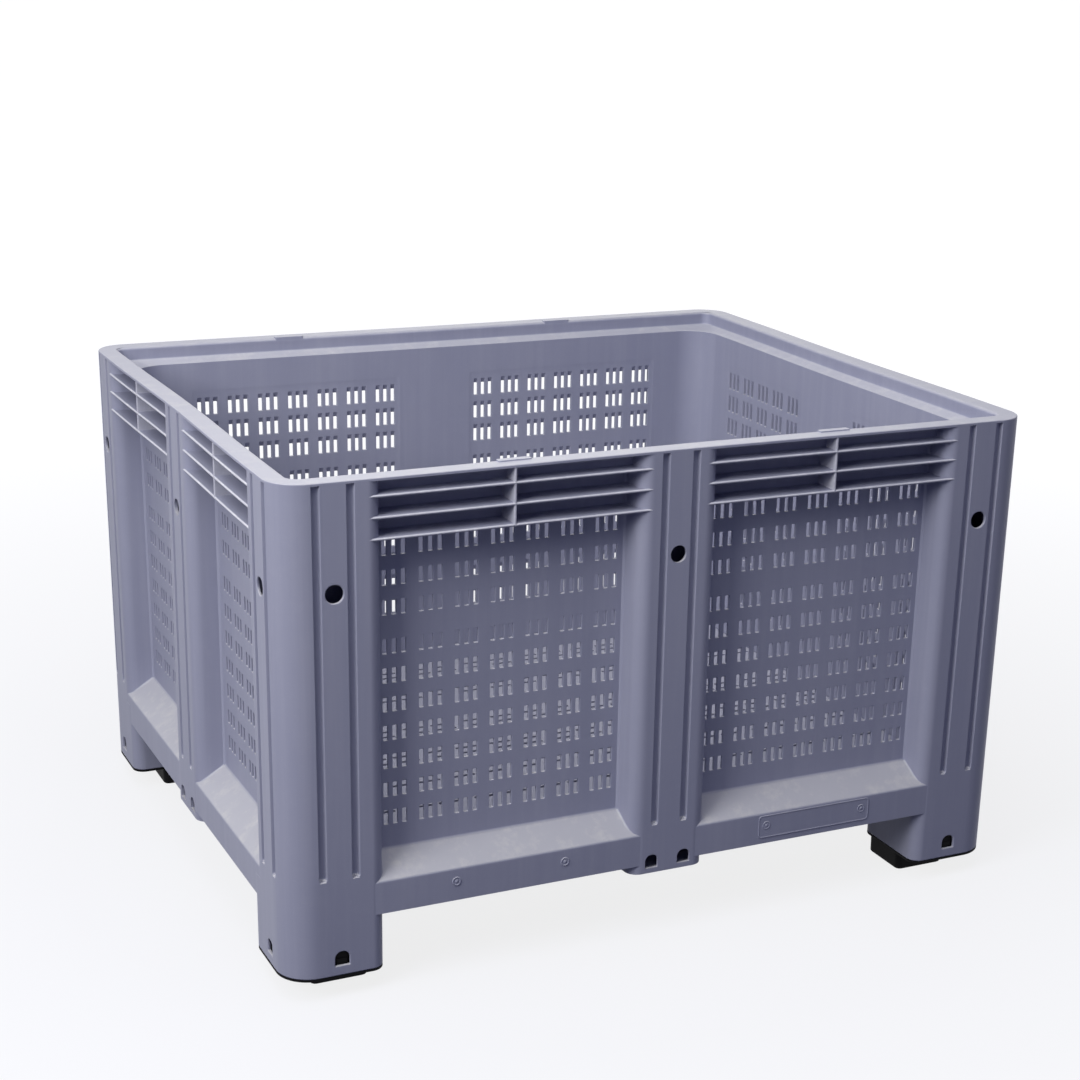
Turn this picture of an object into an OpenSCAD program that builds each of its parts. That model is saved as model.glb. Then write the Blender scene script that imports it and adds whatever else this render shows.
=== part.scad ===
// Fruit bin: a vented pallet box moulded in one piece, standing on four corner feet with snap-in caps.
// Millimetres, +Z up. The origin is the centre of the footprint, on the floor under the foot caps.
// The moulding is drawn in zones that meet face to face. The caps, plate and pins are separate pieces.

/* [Footprint and height] */
// Outside length, along X
bin_l = 1200; // [1000:10:1300]
// Outside width, along Y
bin_w = 1000; // [800:10:1200]
// Height from the floor to the top of the stacking lips
bin_h = 759; // [580:1:900]
// Radius of the vertical outside corners
corner_r = 50; // [20:1:80]

/* [Walls] */
// Thickness of the moulded skin
skin = 5; // [3:0.5:8]
// How far the slotted panels stand back from the outside faces
recess = 44; // [25:1:60]
// Depth of the inside wall faces from the outside faces
inner = 50; // [30:1:70]
// Radius of the upright corners inside the bin
inner_r = 55; // [20:1:90]

/* [Corner posts and mid columns] */
// Post width along the long sides, at the panels
post_x = 150; // [110:1:180]
// Post width along the short sides, at the panels
post_y = 132; // [100:1:180]
// Radius of the long rounded edges of posts and columns
edge_r = 20; // [5:1:30]
// Width of a mid column at the panels
column_w = 126; // [80:1:160]
// Distance of the post grooves and holes from the corner, along the long sides
post_hole_x = 81; // [60:1:95]
// Distance of the post grooves and holes from the corner, along the short sides
post_hole_y = 71; // [60:1:85]
// Spacing of the two grooves on each face
groove_pitch = 48.5; // [36:0.5:60]
// Width of a groove
groove_w = 12; // [6:1:16]
// Depth of a groove
groove_d = 4; // [2:0.5:6]
// Height at which the grooves end
groove_z = 190; // [150:1:300]
// Diameter of the round holes
hole_d = 26; // [12:1:36]
// Height of the round holes
hole_z = 603; // [300:1:680]

/* [Rim and stiffening ribs] */
// Height of the raised stacking lips
lip_h = 2; // [1:0.5:6]
// Width of the flat rim
rim_w = 33; // [20:1:44]
// Thickness of the rim plate
rim_t = 4; // [3:0.5:8]
// Drop from the rim to the outer edge of the inside ledge
ledge_drop = 23; // [12:1:40]
// Further drop across the sloping ledge
ledge_slope = 6; // [2:1:15]
// Thickness of the stiffening ribs
rib_t = 3.2; // [2:0.1:6]
// Spacing of the three ribs below the rim
rib_pitch = 29.7; // [20:0.1:40]

/* [Slots] */
// Slot width
slot_w = 7; // [4:0.5:12]
// Slot height
slot_h = 22; // [12:1:34]
// Spacing of the three slots in a group
slot_pitch = 14; // [10:0.1:20]
// Spacing of the groups
group_pitch = 54; // [40:0.1:70]
// Spacing of the rows
row_pitch = 42.7; // [30:0.1:55]
// Height of the lowest row of slots
row_z = 237; // [215:1:260]
// Extra gap between the three upper rows and the rest
row_gap = 14; // [0:1:20]

/* [Base] */
// Clear height under the base beams
beam_z = 121; // [90:1:150]
// Height of the outer face of a base beam
beam_h = 50; // [30:1:60]
// Rise of the sloping sill from the beam to the panel
sill_rise = 30; // [15:1:40]
// Height of the underside of the mid column stubs
stub_z = 107; // [90:1:121]
// Top of the bin floor
floor_z = 160; // [150:1:180]
// Thickness of the floor plate
floor_t = 6; // [4:0.5:10]
// Size of the square corner feet
foot_w = 150; // [120:1:180]
// Underside of the moulded foot, on its cap
foot_z = 37; // [25:1:60]

/* [Foot caps and plate] */
// Thickness of the cap flange
flange_t = 4; // [3:0.5:8]
// Distance of the cap's plug from the outside faces
plug_in = 52; // [40:1:70]
// Side of the square plug
plug_w = 90; // [60:1:92]
// Length of the bare plate on the front beam
plate_l = 199; // [120:1:260]
// Height of the plate
plate_h = 37; // [25:1:45]
// Spacing of the two pins that hold it
pin_pitch = 171.4; // [100:0.1:175]
// Diameter of a pin head
pin_d = 14; // [8:1:18]

/* [Hidden] */
$fn = 64;
rim_z = bin_h - lip_h;
half_l = bin_l / 2;
half_w = bin_w / 2;
wall = inner - recess;
ledge_z = rim_z - ledge_drop;           // outer edge of the ledge
wall_top = ledge_z - ledge_slope - skin; // the walls end under the ledge
band_in = rim_w - rim_t;                 // outside face of the upright band under the rim
rim_r = 14;                              // inside corners of the rim
lip_l = 50;                              // stacking lips, along the inner edge of the long rims
lip_w = 11.5;
lip_shift = 8;                           // from the middle of a panel, to the right as seen from outside
beam_in = 4;                             // the beams stand back this far from the feet
beam_top = beam_z + beam_h;
sill_top = beam_top + sill_rise;
beam_lip = 6;                            // thickness of the sloping sill, measured upright
beam_ribs = 4;                           // upright ribs inside each beam
floor_under = floor_z - floor_t;
floor_cell_l = 110;                      // cells of the floor grid, along X and Y
floor_cell_w = 90;
floor_cells = 10;
floor_slot_l = 38;
under_rib_t = 4;                         // ribs under the floor and inside the beams
rib_low = rim_z - 24 - 2 * rib_pitch;    // top of the lowest stiffening rib
rib_in = 0.4;                            // the ribs stand back this far from the column faces
rows = 10;                               // rows of slots, the lower ones below the extra gap
low_rows = 7;
column_half = column_w / 2;
long_span = half_l - post_x - column_half;
short_span = half_w - post_y - column_half;
long_mid = column_half + long_span / 2;
short_mid = column_half + short_span / 2;
groove_back = 3;                         // skin left behind and beside a groove
groove_lead = 10;                        // the thicker skin starts this far below a groove
window_r = 11;                           // arched latch windows
window_z = 52;
foot_window_x = 83;                      // from the corner, on the long and short sides
foot_window_y = 75;
stub_window_z = 115;
stub_window_x = 27;
pin_z = 151;
pin_head_t = 2;
plate_t = 2;
plate_drop = 2;                          // the middle of the plate lies this far below the pins
shank_d = 6;
shank_end = beam_in + skin + 3;          // depth that the shanks reach
body_color = [0.47, 0.48, 0.58];
cap_color = [0.05, 0.05, 0.06];

// Frames. A corner is drawn at the origin with the bin towards +X and +Y, a side with its outside face
// on y = 0, the bin towards +Y and the middle of the side at x = 0.

module at_corner(x, y) {
    mirror([x > 0 ? 1 : 0, 0, 0]) mirror([0, y > 0 ? 1 : 0, 0]) translate([-half_l, -half_w, 0]) children();
}

// Draws a plan shape from height z0 up to z1.
module level(z0, z1) {
    translate([0, 0, z0]) linear_extrude(z1 - z0) children();
}

module on_front() { translate([0, -half_w, 0]) children(); }
module on_back() { mirror([0, 1, 0]) on_front() children(); }
module on_left() { translate([-half_l, 0, 0]) swapped() children(); }
module on_right() { mirror([1, 0, 0]) on_left() children(); }
module flipped() { mirror([1, 0, 0]) children(); }
module swapped() { mirror([1, -1, 0]) children(); }

// Plan shapes

module rounded(l, w, r) {
    difference() {
        square([l, w], center = true);
        for (sx = [-1, 1], sy = [-1, 1])
            difference() {
                translate([sx * l / 2, sy * w / 2]) square(2 * r, center = true);
                translate([sx * (l / 2 - r), sy * (w / 2 - r)]) circle(r);
            }
    }
}

module inset_plan(depth, r) {
    rounded(bin_l - 2 * depth, bin_w - 2 * depth, r);
}

// What to take off a corner at [x, y] to round it, where the material lies towards [dx, dy].
module corner_cut(x, y, dx, dy, r) {
    difference() {
        translate([x, y]) square(2 * r, center = true);
        translate([x + dx * r, y + dy * r]) circle(r);
    }
}

module groove_strips(across, margin) {
    for (s = [-1, 1])
        translate([across + s * groove_pitch / 2 - groove_w / 2 - margin, -1])
            square([groove_w + 2 * margin, 1 + groove_d + margin]);
}

module post_outline() {
    difference() {
        union() {
            square([post_x, inner]);
            square([inner, post_y]);
            square(inner + inner_r);
        }
        translate([inner + inner_r, inner + inner_r]) circle(inner_r);
        corner_cut(0, 0, 1, 1, corner_r);
        corner_cut(post_x, 0, -1, 1, edge_r);
        corner_cut(0, post_y, 1, -1, edge_r);
    }
}

module post_hollow() {
    difference() {
        union() {
            translate([skin, skin]) square([post_x - 2 * skin, recess - skin]);
            translate([skin, skin]) square([recess - skin, post_y - 2 * skin]);
            translate([skin, skin]) square(inner + inner_r - skin);
        }
        translate([inner + inner_r, inner + inner_r]) circle(inner_r + wall);
        corner_cut(skin, skin, 1, 1, corner_r - skin);
        corner_cut(post_x - skin, skin, -1, 1, edge_r - skin);
        corner_cut(skin, post_y - skin, 1, -1, edge_r - skin);
    }
}

// cut opens the grooves, backed thickens the skin behind them.
module post_shell(cut, backed) {
    difference() {
        post_outline();
        difference() {
            post_hollow();
            if (backed) {
                groove_strips(post_hole_x, groove_back);
                swapped() groove_strips(post_hole_y, groove_back);
            }
        }
        if (cut) {
            groove_strips(post_hole_x, 0);
            swapped() groove_strips(post_hole_y, 0);
        }
    }
}

module foot_outline() {
    difference() {
        square(foot_w);
        corner_cut(0, 0, 1, 1, corner_r);
        corner_cut(foot_w, 0, -1, 1, edge_r);
        corner_cut(0, foot_w, 1, -1, edge_r);
        corner_cut(foot_w, foot_w, -1, -1, edge_r);
    }
}

module foot_hollow() {
    difference() {
        translate([skin, skin]) square(foot_w - 2 * skin);
        corner_cut(skin, skin, 1, 1, corner_r - skin);
        corner_cut(foot_w - skin, skin, -1, 1, edge_r - skin);
        corner_cut(skin, foot_w - skin, 1, -1, edge_r - skin);
        corner_cut(foot_w - skin, foot_w - skin, -1, -1, edge_r - skin);
    }
}

module column_outline(depth = inner) {
    difference() {
        translate([-column_half, 0]) square([column_w, depth]);
        for (s = [-1, 1]) corner_cut(s * column_half, 0, -s, 1, edge_r);
    }
}

module column_shell(cut, backed) {
    difference() {
        column_outline();
        difference() {
            translate([-column_half + skin, skin]) square([column_w - 2 * skin, recess - skin]);
            for (s = [-1, 1]) corner_cut(s * (column_half - skin), skin, -s, 1, edge_r - skin);
            if (backed) groove_strips(0, groove_back);
        }
        if (cut) groove_strips(0, 0);
    }
}

// Cuts through an outside face on y = 0, at [x, z]

module round_hole(x) {
    translate([x, skin + groove_d, hole_z]) rotate([90, 0, 0]) cylinder(d = hole_d, h = 2 * recess);
}

module groove_ends(x) {
    for (s = [-1, 1])
        translate([x + s * groove_pitch / 2, groove_d, groove_z])
            rotate([90, 0, 0]) cylinder(d = groove_w, h = groove_d + 1);
}

module latch_window(x, z) {
    translate([x - window_r, -1, z]) cube([2 * window_r, skin + 3, window_r]);
    translate([x, skin + 2, z + window_r]) rotate([90, 0, 0]) cylinder(r = window_r, h = skin + 3);
}

module rim_body() {
    level(rim_z - rim_t, rim_z) difference() {
        inset_plan(0, corner_r);
        inset_plan(rim_w, rim_r);
    }
    level(ledge_z, rim_z - rim_t) difference() {
        inset_plan(band_in, rim_r + rim_t);
        inset_plan(rim_w, rim_r);
    }
    difference() {
        level(wall_top, ledge_z) difference() {
            inset_plan(band_in, rim_r + rim_t);
            inset_plan(inner, inner_r);
        }
        intersection() {
            ledge_slope_prism(half_l, bin_w);
            rotate([0, 0, 90]) ledge_slope_prism(half_w, bin_l);
            level(wall_top, bin_h) inset_plan(rim_w, rim_r);
        }
    }
}

// Everything above the two ledges that lie across X, h from the middle.
module ledge_slope_prism(h, l) {
    low = ledge_z - ledge_slope;
    above = ledge_z + 2;
    translate([0, l / 2, 0]) rotate([90, 0, 0]) linear_extrude(l)
        polygon([
            [inner - h, low], [h - inner, low], [h - rim_w, ledge_z],
            [h - rim_w, above], [rim_w - h, above], [rim_w - h, ledge_z]
        ]);
}

module stacking_rim() {
    color(body_color) {
        rim_body();
        for (sx = [-1, 1], sy = [-1, 1])
            translate([sx * long_mid - sy * lip_shift, sy * (half_w - rim_w + lip_w / 2), bin_h - (1 + lip_h) / 2])
                cube([lip_l, lip_w, 1 + lip_h], center = true);
    }
}

// Slots in every cell of the floor, two across and three deep, except near the feet.
module floor_slots() {
    mid = (floor_cells - 1) / 2;
    for (i = [-mid:mid], j = [-mid:mid])
        if (abs(i) < 4 || abs(j) < 3)
            for (a = [-1, 1], b = [-1:1])
                translate([i * floor_cell_l + a * 25, j * floor_cell_w + b * 22])
                    square([floor_slot_l, slot_w], center = true);
}

module floor_ribs() {
    difference() {
        intersection() {
            inset_plan(inner, inner_r);
            union() {
                for (i = [-4:4]) translate([i * floor_cell_l, 0]) square([under_rib_t, bin_w], center = true);
                for (j = [-4:4]) translate([0, j * floor_cell_w]) square([bin_l, under_rib_t], center = true);
            }
        }
        for (sx = [-1, 1], sy = [-1, 1])
            translate([sx * half_l, sy * half_w]) square(2 * foot_w, center = true);
    }
}

module floor_deck() {
    color(body_color) {
        level(floor_under, floor_z) difference() {
            inset_plan(inner, inner_r);
            floor_slots();
        }
        level(beam_z, floor_under) floor_ribs();
    }
}

module corner_post(x, y) {
    color(body_color) at_corner(x, y) {
        difference() {
            union() {
                level(floor_under, groove_z - groove_lead) post_shell(false, false);
                level(groove_z - groove_lead, groove_z) post_shell(false, true);
                level(groove_z, wall_top) post_shell(true, true);
                level(wall_top, rim_z - rim_t) difference() {
                    post_shell(true, true);
                    translate([half_l, half_w]) inset_plan(band_in, rim_r + rim_t);
                }
            }
            round_hole(post_hole_x);
            swapped() round_hole(post_hole_y);
            groove_ends(post_hole_x);
            swapped() groove_ends(post_hole_y);
        }
        difference() {
            level(foot_z, floor_under) difference() {
                foot_outline();
                foot_hollow();
            }
            latch_window(foot_window_x, window_z);
            swapped() latch_window(foot_window_y, window_z);
        }
    }
}

module mid_column() {
    color(body_color) difference() {
        union() {
            level(stub_z, groove_z - groove_lead) column_shell(false, false);
            level(groove_z - groove_lead, groove_z) column_shell(false, true);
            level(groove_z, wall_top) column_shell(true, true);
            level(wall_top, rim_z - rim_t) intersection() {
                column_shell(true, true);
                translate([-column_w, 0]) square([2 * column_w, band_in]);
            }
        }
        round_hole(0);
        groove_ends(0);
        for (s = [-1, 1]) latch_window(s * stub_window_x, stub_window_z);
    }
}

// A panel runs from x0 over length l and has a number of slot groups.
module wall_panel(x0, l, groups) {
    color(body_color) translate([0, inner, 0]) rotate([90, 0, 0]) linear_extrude(wall) difference() {
        translate([x0, sill_top]) square([l, wall_top - sill_top]);
        for (row = [0:rows - 1], g = [0:groups - 1], k = [-1:1]) {
            x = x0 + l / 2 + (g - (groups - 1) / 2) * group_pitch + k * slot_pitch;
            z = row_z + row * row_pitch + (row < low_rows ? 0 : row_gap);
            translate([x - slot_w / 2, z]) square([slot_w, slot_h]);
        }
    }
}

// The plan between a mid column and the post that is l away, from depth d0 to d1, up to their round edges.
module between(l, post, d0, d1) {
    difference() {
        translate([column_half - edge_r, d0]) square([l + 2 * edge_r, d1 - d0]);
        column_outline(recess);
        translate([column_half + l + post / 2, recess / 2]) difference() {
            square([post, recess], center = true);
            translate([-post / 2, -recess / 2]) corner_cut(0, 0, 1, 1, edge_r);
        }
    }
}

// Three level ribs over length l, with an upright web through their middle. The top rib meets the band.
module rim_ribs(l, post) {
    color(body_color) {
        for (i = [0:2])
            level(rib_low + i * rib_pitch - rib_t, rib_low + i * rib_pitch)
                between(l, post, rib_in, i == 2 ? band_in : recess);
        translate([column_half + l / 2 - rib_t / 2, rib_in]) {
            level(rib_low - 1, wall_top) square([rib_t, recess - rib_in]);
            level(wall_top - 1, rim_z - rim_t) square([rib_t, band_in - rib_in]);
        }
    }
}

module beam_section() {
    polygon([
        [beam_in, beam_z], [beam_in + skin, beam_z],
        [beam_in + skin, beam_top - beam_lip / 2], [recess, sill_top - beam_lip],
        [recess, beam_z], [inner, beam_z], [inner, sill_top],
        [recess, sill_top], [beam_in, beam_top]
    ]);
}

module beam_rib() {
    polygon([
        [beam_in + 1, beam_z], [recess + 1, beam_z],
        [recess + 1, sill_top - beam_lip + 1], [beam_in + 1, beam_top - beam_lip + 2]
    ]);
}

// Runs a section, drawn in depth and height, along a side from x0.
module along_side(x0, l) {
    translate([x0, 0, 0]) rotate([90, 0, 90]) linear_extrude(l) children();
}

module post_block(w) {
    difference() {
        square([w, inner + 1]);
        corner_cut(w, 0, -1, 1, edge_r);
    }
}

// A beam over length l, with the upright legs of its section and ribs between them.
module base_beam(l, post, pins) {
    color(body_color) difference() {
        union() {
            along_side(column_half - edge_r, l + 2 * edge_r) beam_section();
            for (i = [1:beam_ribs])
                along_side(column_half + i * l / (beam_ribs + 1) - under_rib_t / 2, under_rib_t) beam_rib();
        }
        level(beam_z - 1, sill_top + 1) column_outline(inner + 1);
        translate([column_half + l + post, 0, 0]) mirror([1, 0, 0]) {
            level(beam_z - 1, sill_top + 1) post_block(post);
            level(beam_z - 1, floor_under) foot_outline();
        }
        if (pins)
            for (s = [-1, 1])
                translate([column_half + l / 2 + s * pin_pitch / 2, beam_in + skin + 1, pin_z])
                    rotate([90, 0, 0]) cylinder(d = shank_d, h = skin + 2);
    }
}

module foot_cap(x, y) {
    color(cap_color) at_corner(x, y) {
        level(foot_z - flange_t, foot_z) difference() {
            foot_outline();
            plug_square(skin);
        }
        difference() {
            level(0, foot_z - 1) plug_square(0);
            level(skin, foot_z) plug_square(skin);
        }
        latch_tongue(foot_window_x);
        swapped() latch_tongue(foot_window_y);
    }
}

module plug_square(margin) {
    translate([plug_in + plug_w / 2, plug_in + plug_w / 2])
        rounded(plug_w - 2 * margin, plug_w - 2 * margin, 2 * skin - margin);
}

// Tongue inside the skin behind a latch window, with a catch that stands in the window.
module latch_tongue(x) {
    gap = 0.5;
    translate([x - window_r + 1, skin + gap]) level(foot_z - 1, window_z + 2 * window_r + 3)
        square([2 * window_r - 2, 4]);
    translate([x - window_r + 3, 2]) level(window_z + 1, window_z + window_r) square([2 * window_r - 6, skin]);
}

module name_plate() {
    color(body_color) translate([long_mid, beam_in - half_w, pin_z - plate_drop]) rotate([90, 0, 0])
        linear_extrude(plate_t) difference() {
            rounded(plate_l, plate_h, 6);
            for (s = [-1, 1]) translate([s * pin_pitch / 2, plate_drop]) circle(d = shank_d);
        }
}

// A pin whose head lies at the given depth from the front.
module plate_pin(x, depth) {
    translate([x, depth - half_w, pin_z]) rotate([90, 0, 0]) cylinder(d = pin_d, h = pin_head_t);
    translate([x, shank_end - half_w, pin_z]) rotate([90, 0, 0])
        cylinder(d = shank_d - 0.1, h = shank_end - depth + 1);
}

module plate_pins() {
    color(body_color) for (s = [-1, 1]) {
        plate_pin(long_mid + s * pin_pitch / 2, beam_in - plate_t);
        plate_pin(-long_mid + s * pin_pitch / 2, beam_in);
    }
}

// The walls of a long and of a short side, with their numbers of slot groups.
module long_panel() {
    wall_panel(column_half, long_span, 7);
}

module short_panel() {
    wall_panel(column_half, short_span, 5);
}

module long_ribs() {
    rim_ribs(long_span, post_x);
}

module short_ribs() {
    rim_ribs(short_span, post_y);
}

module long_beam(pinned) {
    base_beam(long_span, post_x, pinned);
}

module short_beam() {
    base_beam(short_span, post_y, false);
}

stacking_rim();
floor_deck();
corner_post(-1, -1);  // corner_post_front_left
corner_post(1, -1);  // corner_post_front_right
corner_post(-1, 1);  // corner_post_back_left
corner_post(1, 1);  // corner_post_back_right
on_front() mid_column();  // mid_column_front
on_back() mid_column();  // mid_column_back
on_left() mid_column();  // mid_column_left
on_right() mid_column();  // mid_column_right
on_front() flipped() long_panel();  // wall_panel_front_left
on_front() long_panel();  // wall_panel_front_right
on_back() flipped() long_panel();  // wall_panel_back_left
on_back() long_panel();  // wall_panel_back_right
on_left() flipped() short_panel();  // wall_panel_left_front
on_left() short_panel();  // wall_panel_left_back
on_right() flipped() short_panel();  // wall_panel_right_front
on_right() short_panel();  // wall_panel_right_back
on_front() flipped() long_ribs();  // rim_ribs_front_left
on_front() long_ribs();  // rim_ribs_front_right
on_back() flipped() long_ribs();  // rim_ribs_back_left
on_back() long_ribs();  // rim_ribs_back_right
on_left() flipped() short_ribs();  // rim_ribs_left_front
on_left() short_ribs();  // rim_ribs_left_back
on_right() flipped() short_ribs();  // rim_ribs_right_front
on_right() short_ribs();  // rim_ribs_right_back
on_front() flipped() long_beam(true);  // base_beam_front_left
on_front() long_beam(true);  // base_beam_front_right
on_back() flipped() long_beam(false);  // base_beam_back_left
on_back() long_beam(false);  // base_beam_back_right
on_left() flipped() short_beam();  // base_beam_left_front
on_left() short_beam();  // base_beam_left_back
on_right() flipped() short_beam();  // base_beam_right_front
on_right() short_beam();  // base_beam_right_back
foot_cap(-1, -1);  // foot_cap_front_left
foot_cap(1, -1);  // foot_cap_front_right
foot_cap(-1, 1);  // foot_cap_back_left
foot_cap(1, 1);  // foot_cap_back_right
name_plate();
plate_pins();
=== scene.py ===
import math
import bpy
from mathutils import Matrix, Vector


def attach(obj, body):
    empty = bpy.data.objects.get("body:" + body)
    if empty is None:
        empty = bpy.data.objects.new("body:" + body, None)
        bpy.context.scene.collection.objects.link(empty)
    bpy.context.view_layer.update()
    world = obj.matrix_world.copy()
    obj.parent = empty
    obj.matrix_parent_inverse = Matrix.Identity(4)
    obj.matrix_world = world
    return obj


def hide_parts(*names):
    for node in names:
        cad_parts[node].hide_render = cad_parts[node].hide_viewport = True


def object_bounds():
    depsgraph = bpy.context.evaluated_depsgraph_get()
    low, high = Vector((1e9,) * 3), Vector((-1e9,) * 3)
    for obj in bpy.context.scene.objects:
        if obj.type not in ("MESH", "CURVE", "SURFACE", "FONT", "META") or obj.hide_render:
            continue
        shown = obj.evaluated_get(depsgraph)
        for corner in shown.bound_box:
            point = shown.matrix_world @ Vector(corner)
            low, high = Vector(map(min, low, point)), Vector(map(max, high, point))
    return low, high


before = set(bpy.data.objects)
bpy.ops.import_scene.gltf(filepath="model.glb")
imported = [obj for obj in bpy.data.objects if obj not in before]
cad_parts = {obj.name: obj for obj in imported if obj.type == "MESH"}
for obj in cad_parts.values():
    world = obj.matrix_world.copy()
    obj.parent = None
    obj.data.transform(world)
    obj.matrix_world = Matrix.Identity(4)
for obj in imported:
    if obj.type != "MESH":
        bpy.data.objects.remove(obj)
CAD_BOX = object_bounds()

from types import SimpleNamespace

import bmesh
import bpy
import numpy as np
from bpy.props import FloatProperty, FloatVectorProperty, IntProperty, PointerProperty
from mathutils import Vector
from mathutils.geometry import delaunay_2d_cdt

bl_info = {
    "name": "Fruit bin",
    "version": (1, 0, 0),
    "blender": (4, 5, 0),
    "location": "View3D > Sidebar > Fruit Bin",
    "description": "Builds a vented pallet box for fruit in grey-blue plastic, around its packed frame",
    "category": "Add Mesh",
}

MM = 0.001
SIDES = ("front", "back", "left", "right")
CORNERS = {"front_left": (-1, -1), "front_right": (1, -1), "back_left": (-1, 1), "back_right": (1, 1)}
NEITHER_SIDE = -1e3  # a place off every face, for grid lines that a hole must not use
OPENING_ROUND = 1.6  # radius on the edges of holes, windows and open ends, in millimetres


def length(name, what, millimetres):
    """A length property, given in millimetres and kept in metres."""
    default = millimetres * MM
    return FloatProperty(name=name, description=what, default=default, min=0, unit="LENGTH", precision=4)


def number(name, what, default, least):
    """A whole number with a least value."""
    return IntProperty(name=name, description=what, default=default, min=least)


def colour(name, what, rgb):
    """A colour property, in linear red, green and blue."""
    limits = {"min": 0, "max": 1, "size": 3}
    return FloatVectorProperty(name=name, description=what, default=rgb, subtype="COLOR", **limits)


class FruitBinSizes(bpy.types.PropertyGroup):
    """Sizes of the bin. Its length and width come from the frame."""

    skin: length("Skin", "Thickness of the moulded skin", 5)
    recess: length("Recess", "How far the slotted panels stand back from the outside faces", 44)
    inner: length("Inner faces", "Depth of the inside wall faces from the outside faces", 50)
    inner_r: length("Inner corner radius", "Radius of the upright corners inside the bin", 55)
    corner_r: length("Corner radius", "Radius of the upright outside corners", 50)
    edge_r: length("Edge radius", "Radius of the long rounded edges of posts and columns", 20)
    column_w: length("Column width", "Width of a mid column, across its rounded edges", 126)
    post_long: length("Post, long side", "Width of a corner post along the long sides", 150)
    post_short: length("Post, short side", "Width of a corner post along the short sides", 132)
    lean: length("Reveal lean", "How much a post or column widens from its rounded edge to the panel", 2.6)
    hole_long: length("Hole, long side", "Distance of the post hole from the corner, long sides", 81)
    hole_short: length("Hole, short side", "Distance of the post hole from the corner, short sides", 71)
    hole_d: length("Hole diameter", "Diameter of the round holes", 26)
    hole_z: length("Hole height", "Height of the round holes", 603)
    groove_pitch: length("Groove spacing", "Spacing of the two grooves on a face", 48.5)
    groove_w: length("Groove width", "Width of a groove at the face", 12)
    groove_d: length("Groove depth", "Depth of a groove", 5.8)
    groove_z: length("Groove end", "Height of the centre of the grooves' round ends", 190)
    rim_z: length("Rim height", "Height of the flat rim", 757)
    rim_w: length("Rim width", "Width of the flat rim", 33)
    rim_t: length("Rim thickness", "Thickness of the flat rim", 4)
    rim_r: length("Rim inner radius", "Radius of the inside corners of the rim", 14)
    lip_l: length("Lip length", "Length of the raised stacking lips", 50)
    lip_w: length("Lip width", "Width of the raised stacking lips", 11.5)
    lip_h: length("Lip height", "Height of the raised stacking lips", 2)
    lip_shift: length("Lip shift", "How far the lips stand beside the middle of the panels", 8)
    rim_soft: length("Rim inner edge", "Rounding of the rim's inside upper edge", 5)
    ledge_drop: length("Ledge drop", "Drop from the rim to the ledge inside it", 23)
    ledge_slope: length("Ledge slope", "Further drop across the sloping ledge", 6)
    rib_t: length("Rib thickness", "Thickness of the ribs under the rim", 3.2)
    rib_pitch: length("Rib spacing", "Spacing of the ribs under the rim", 29.7)
    slot_w: length("Slot width", "Width of a slot", 7)
    slot_h: length("Slot height", "Height of a slot outside", 22)
    slot_rise: length("Slot rise", "How much higher a slot reaches inside than outside", 8)
    slot_pitch: length("Slot spacing", "Spacing of the three slots in a group", 14)
    group_pitch: length("Group spacing", "Spacing of the slot groups", 54)
    row_pitch: length("Row spacing", "Spacing of the slot rows", 42.7)
    row_z: length("First row", "Height of the lowest slots", 237)
    row_gap: length("Row gap", "Extra gap below the three upper rows", 14)
    beam_z: length("Beam height", "Height of the underside of the base beams", 121)
    beam_h: length("Beam face", "Height of the outer face of a base beam", 50)
    sill_rise: length("Sill rise", "Rise of the sloping sill", 30)
    stub_z: length("Stub height", "Height of the underside of the mid columns", 107)
    floor_z: length("Floor top", "Height of the top of the bin floor", 160)
    floor_t: length("Floor thickness", "Thickness of the floor", 6)
    window_r: length("Window radius", "Half the width of the arched windows", 11)
    window_z: length("Foot window height", "Height of the foot of the windows in the feet", 52)
    window_long: length("Window, long side", "Distance of a foot window from the corner, long sides", 83)
    window_short: length("Window, short side", "Distance of a foot window from the corner, short sides", 75)
    stub_window_z: length("Stub window height", "Height of the foot of the windows in the mid columns", 115)
    stub_window_x: length("Stub window place", "Distance of these windows from the column's middle", 27)
    foot_w: length("Foot width", "Side of the square feet", 150)
    foot_z: length("Foot height", "Height of the underside of the moulded feet", 37)
    flange_t: length("Cap flange", "Thickness of the cap flange", 4)
    plug_in: length("Plug place", "Distance of the cap plug from the outside faces", 52)
    plug_w: length("Plug side", "Side of the square cap plug", 90)
    plate_l: length("Plate length", "Length of the bare plate on the front beam", 199)
    plate_h: length("Plate height", "Height of the bare plate", 37)
    pin_pitch: length("Pin spacing", "Spacing of the two pins on a beam", 171.4)
    pin_d: length("Pin diameter", "Diameter of a pin head", 14)
    pin_z: length("Pin height", "Height of the pins", 151)
    taper: FloatProperty(
        name="Taper", description="How far the outside faces draw in, per unit of drop from the rim",
        default=0.002, min=0, precision=4,
    )
    bow: length("Bow", "How far the middle of a wall has bent inwards at the rim, as moulded boxes do", 4)
    rows: number("Slot rows", "Number of slot rows", 10, 4)
    groups_long: number("Groups, long side", "Slot groups on a long panel", 7, 1)
    groups_short: number("Groups, short side", "Slot groups on a short panel", 5, 1)


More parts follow.
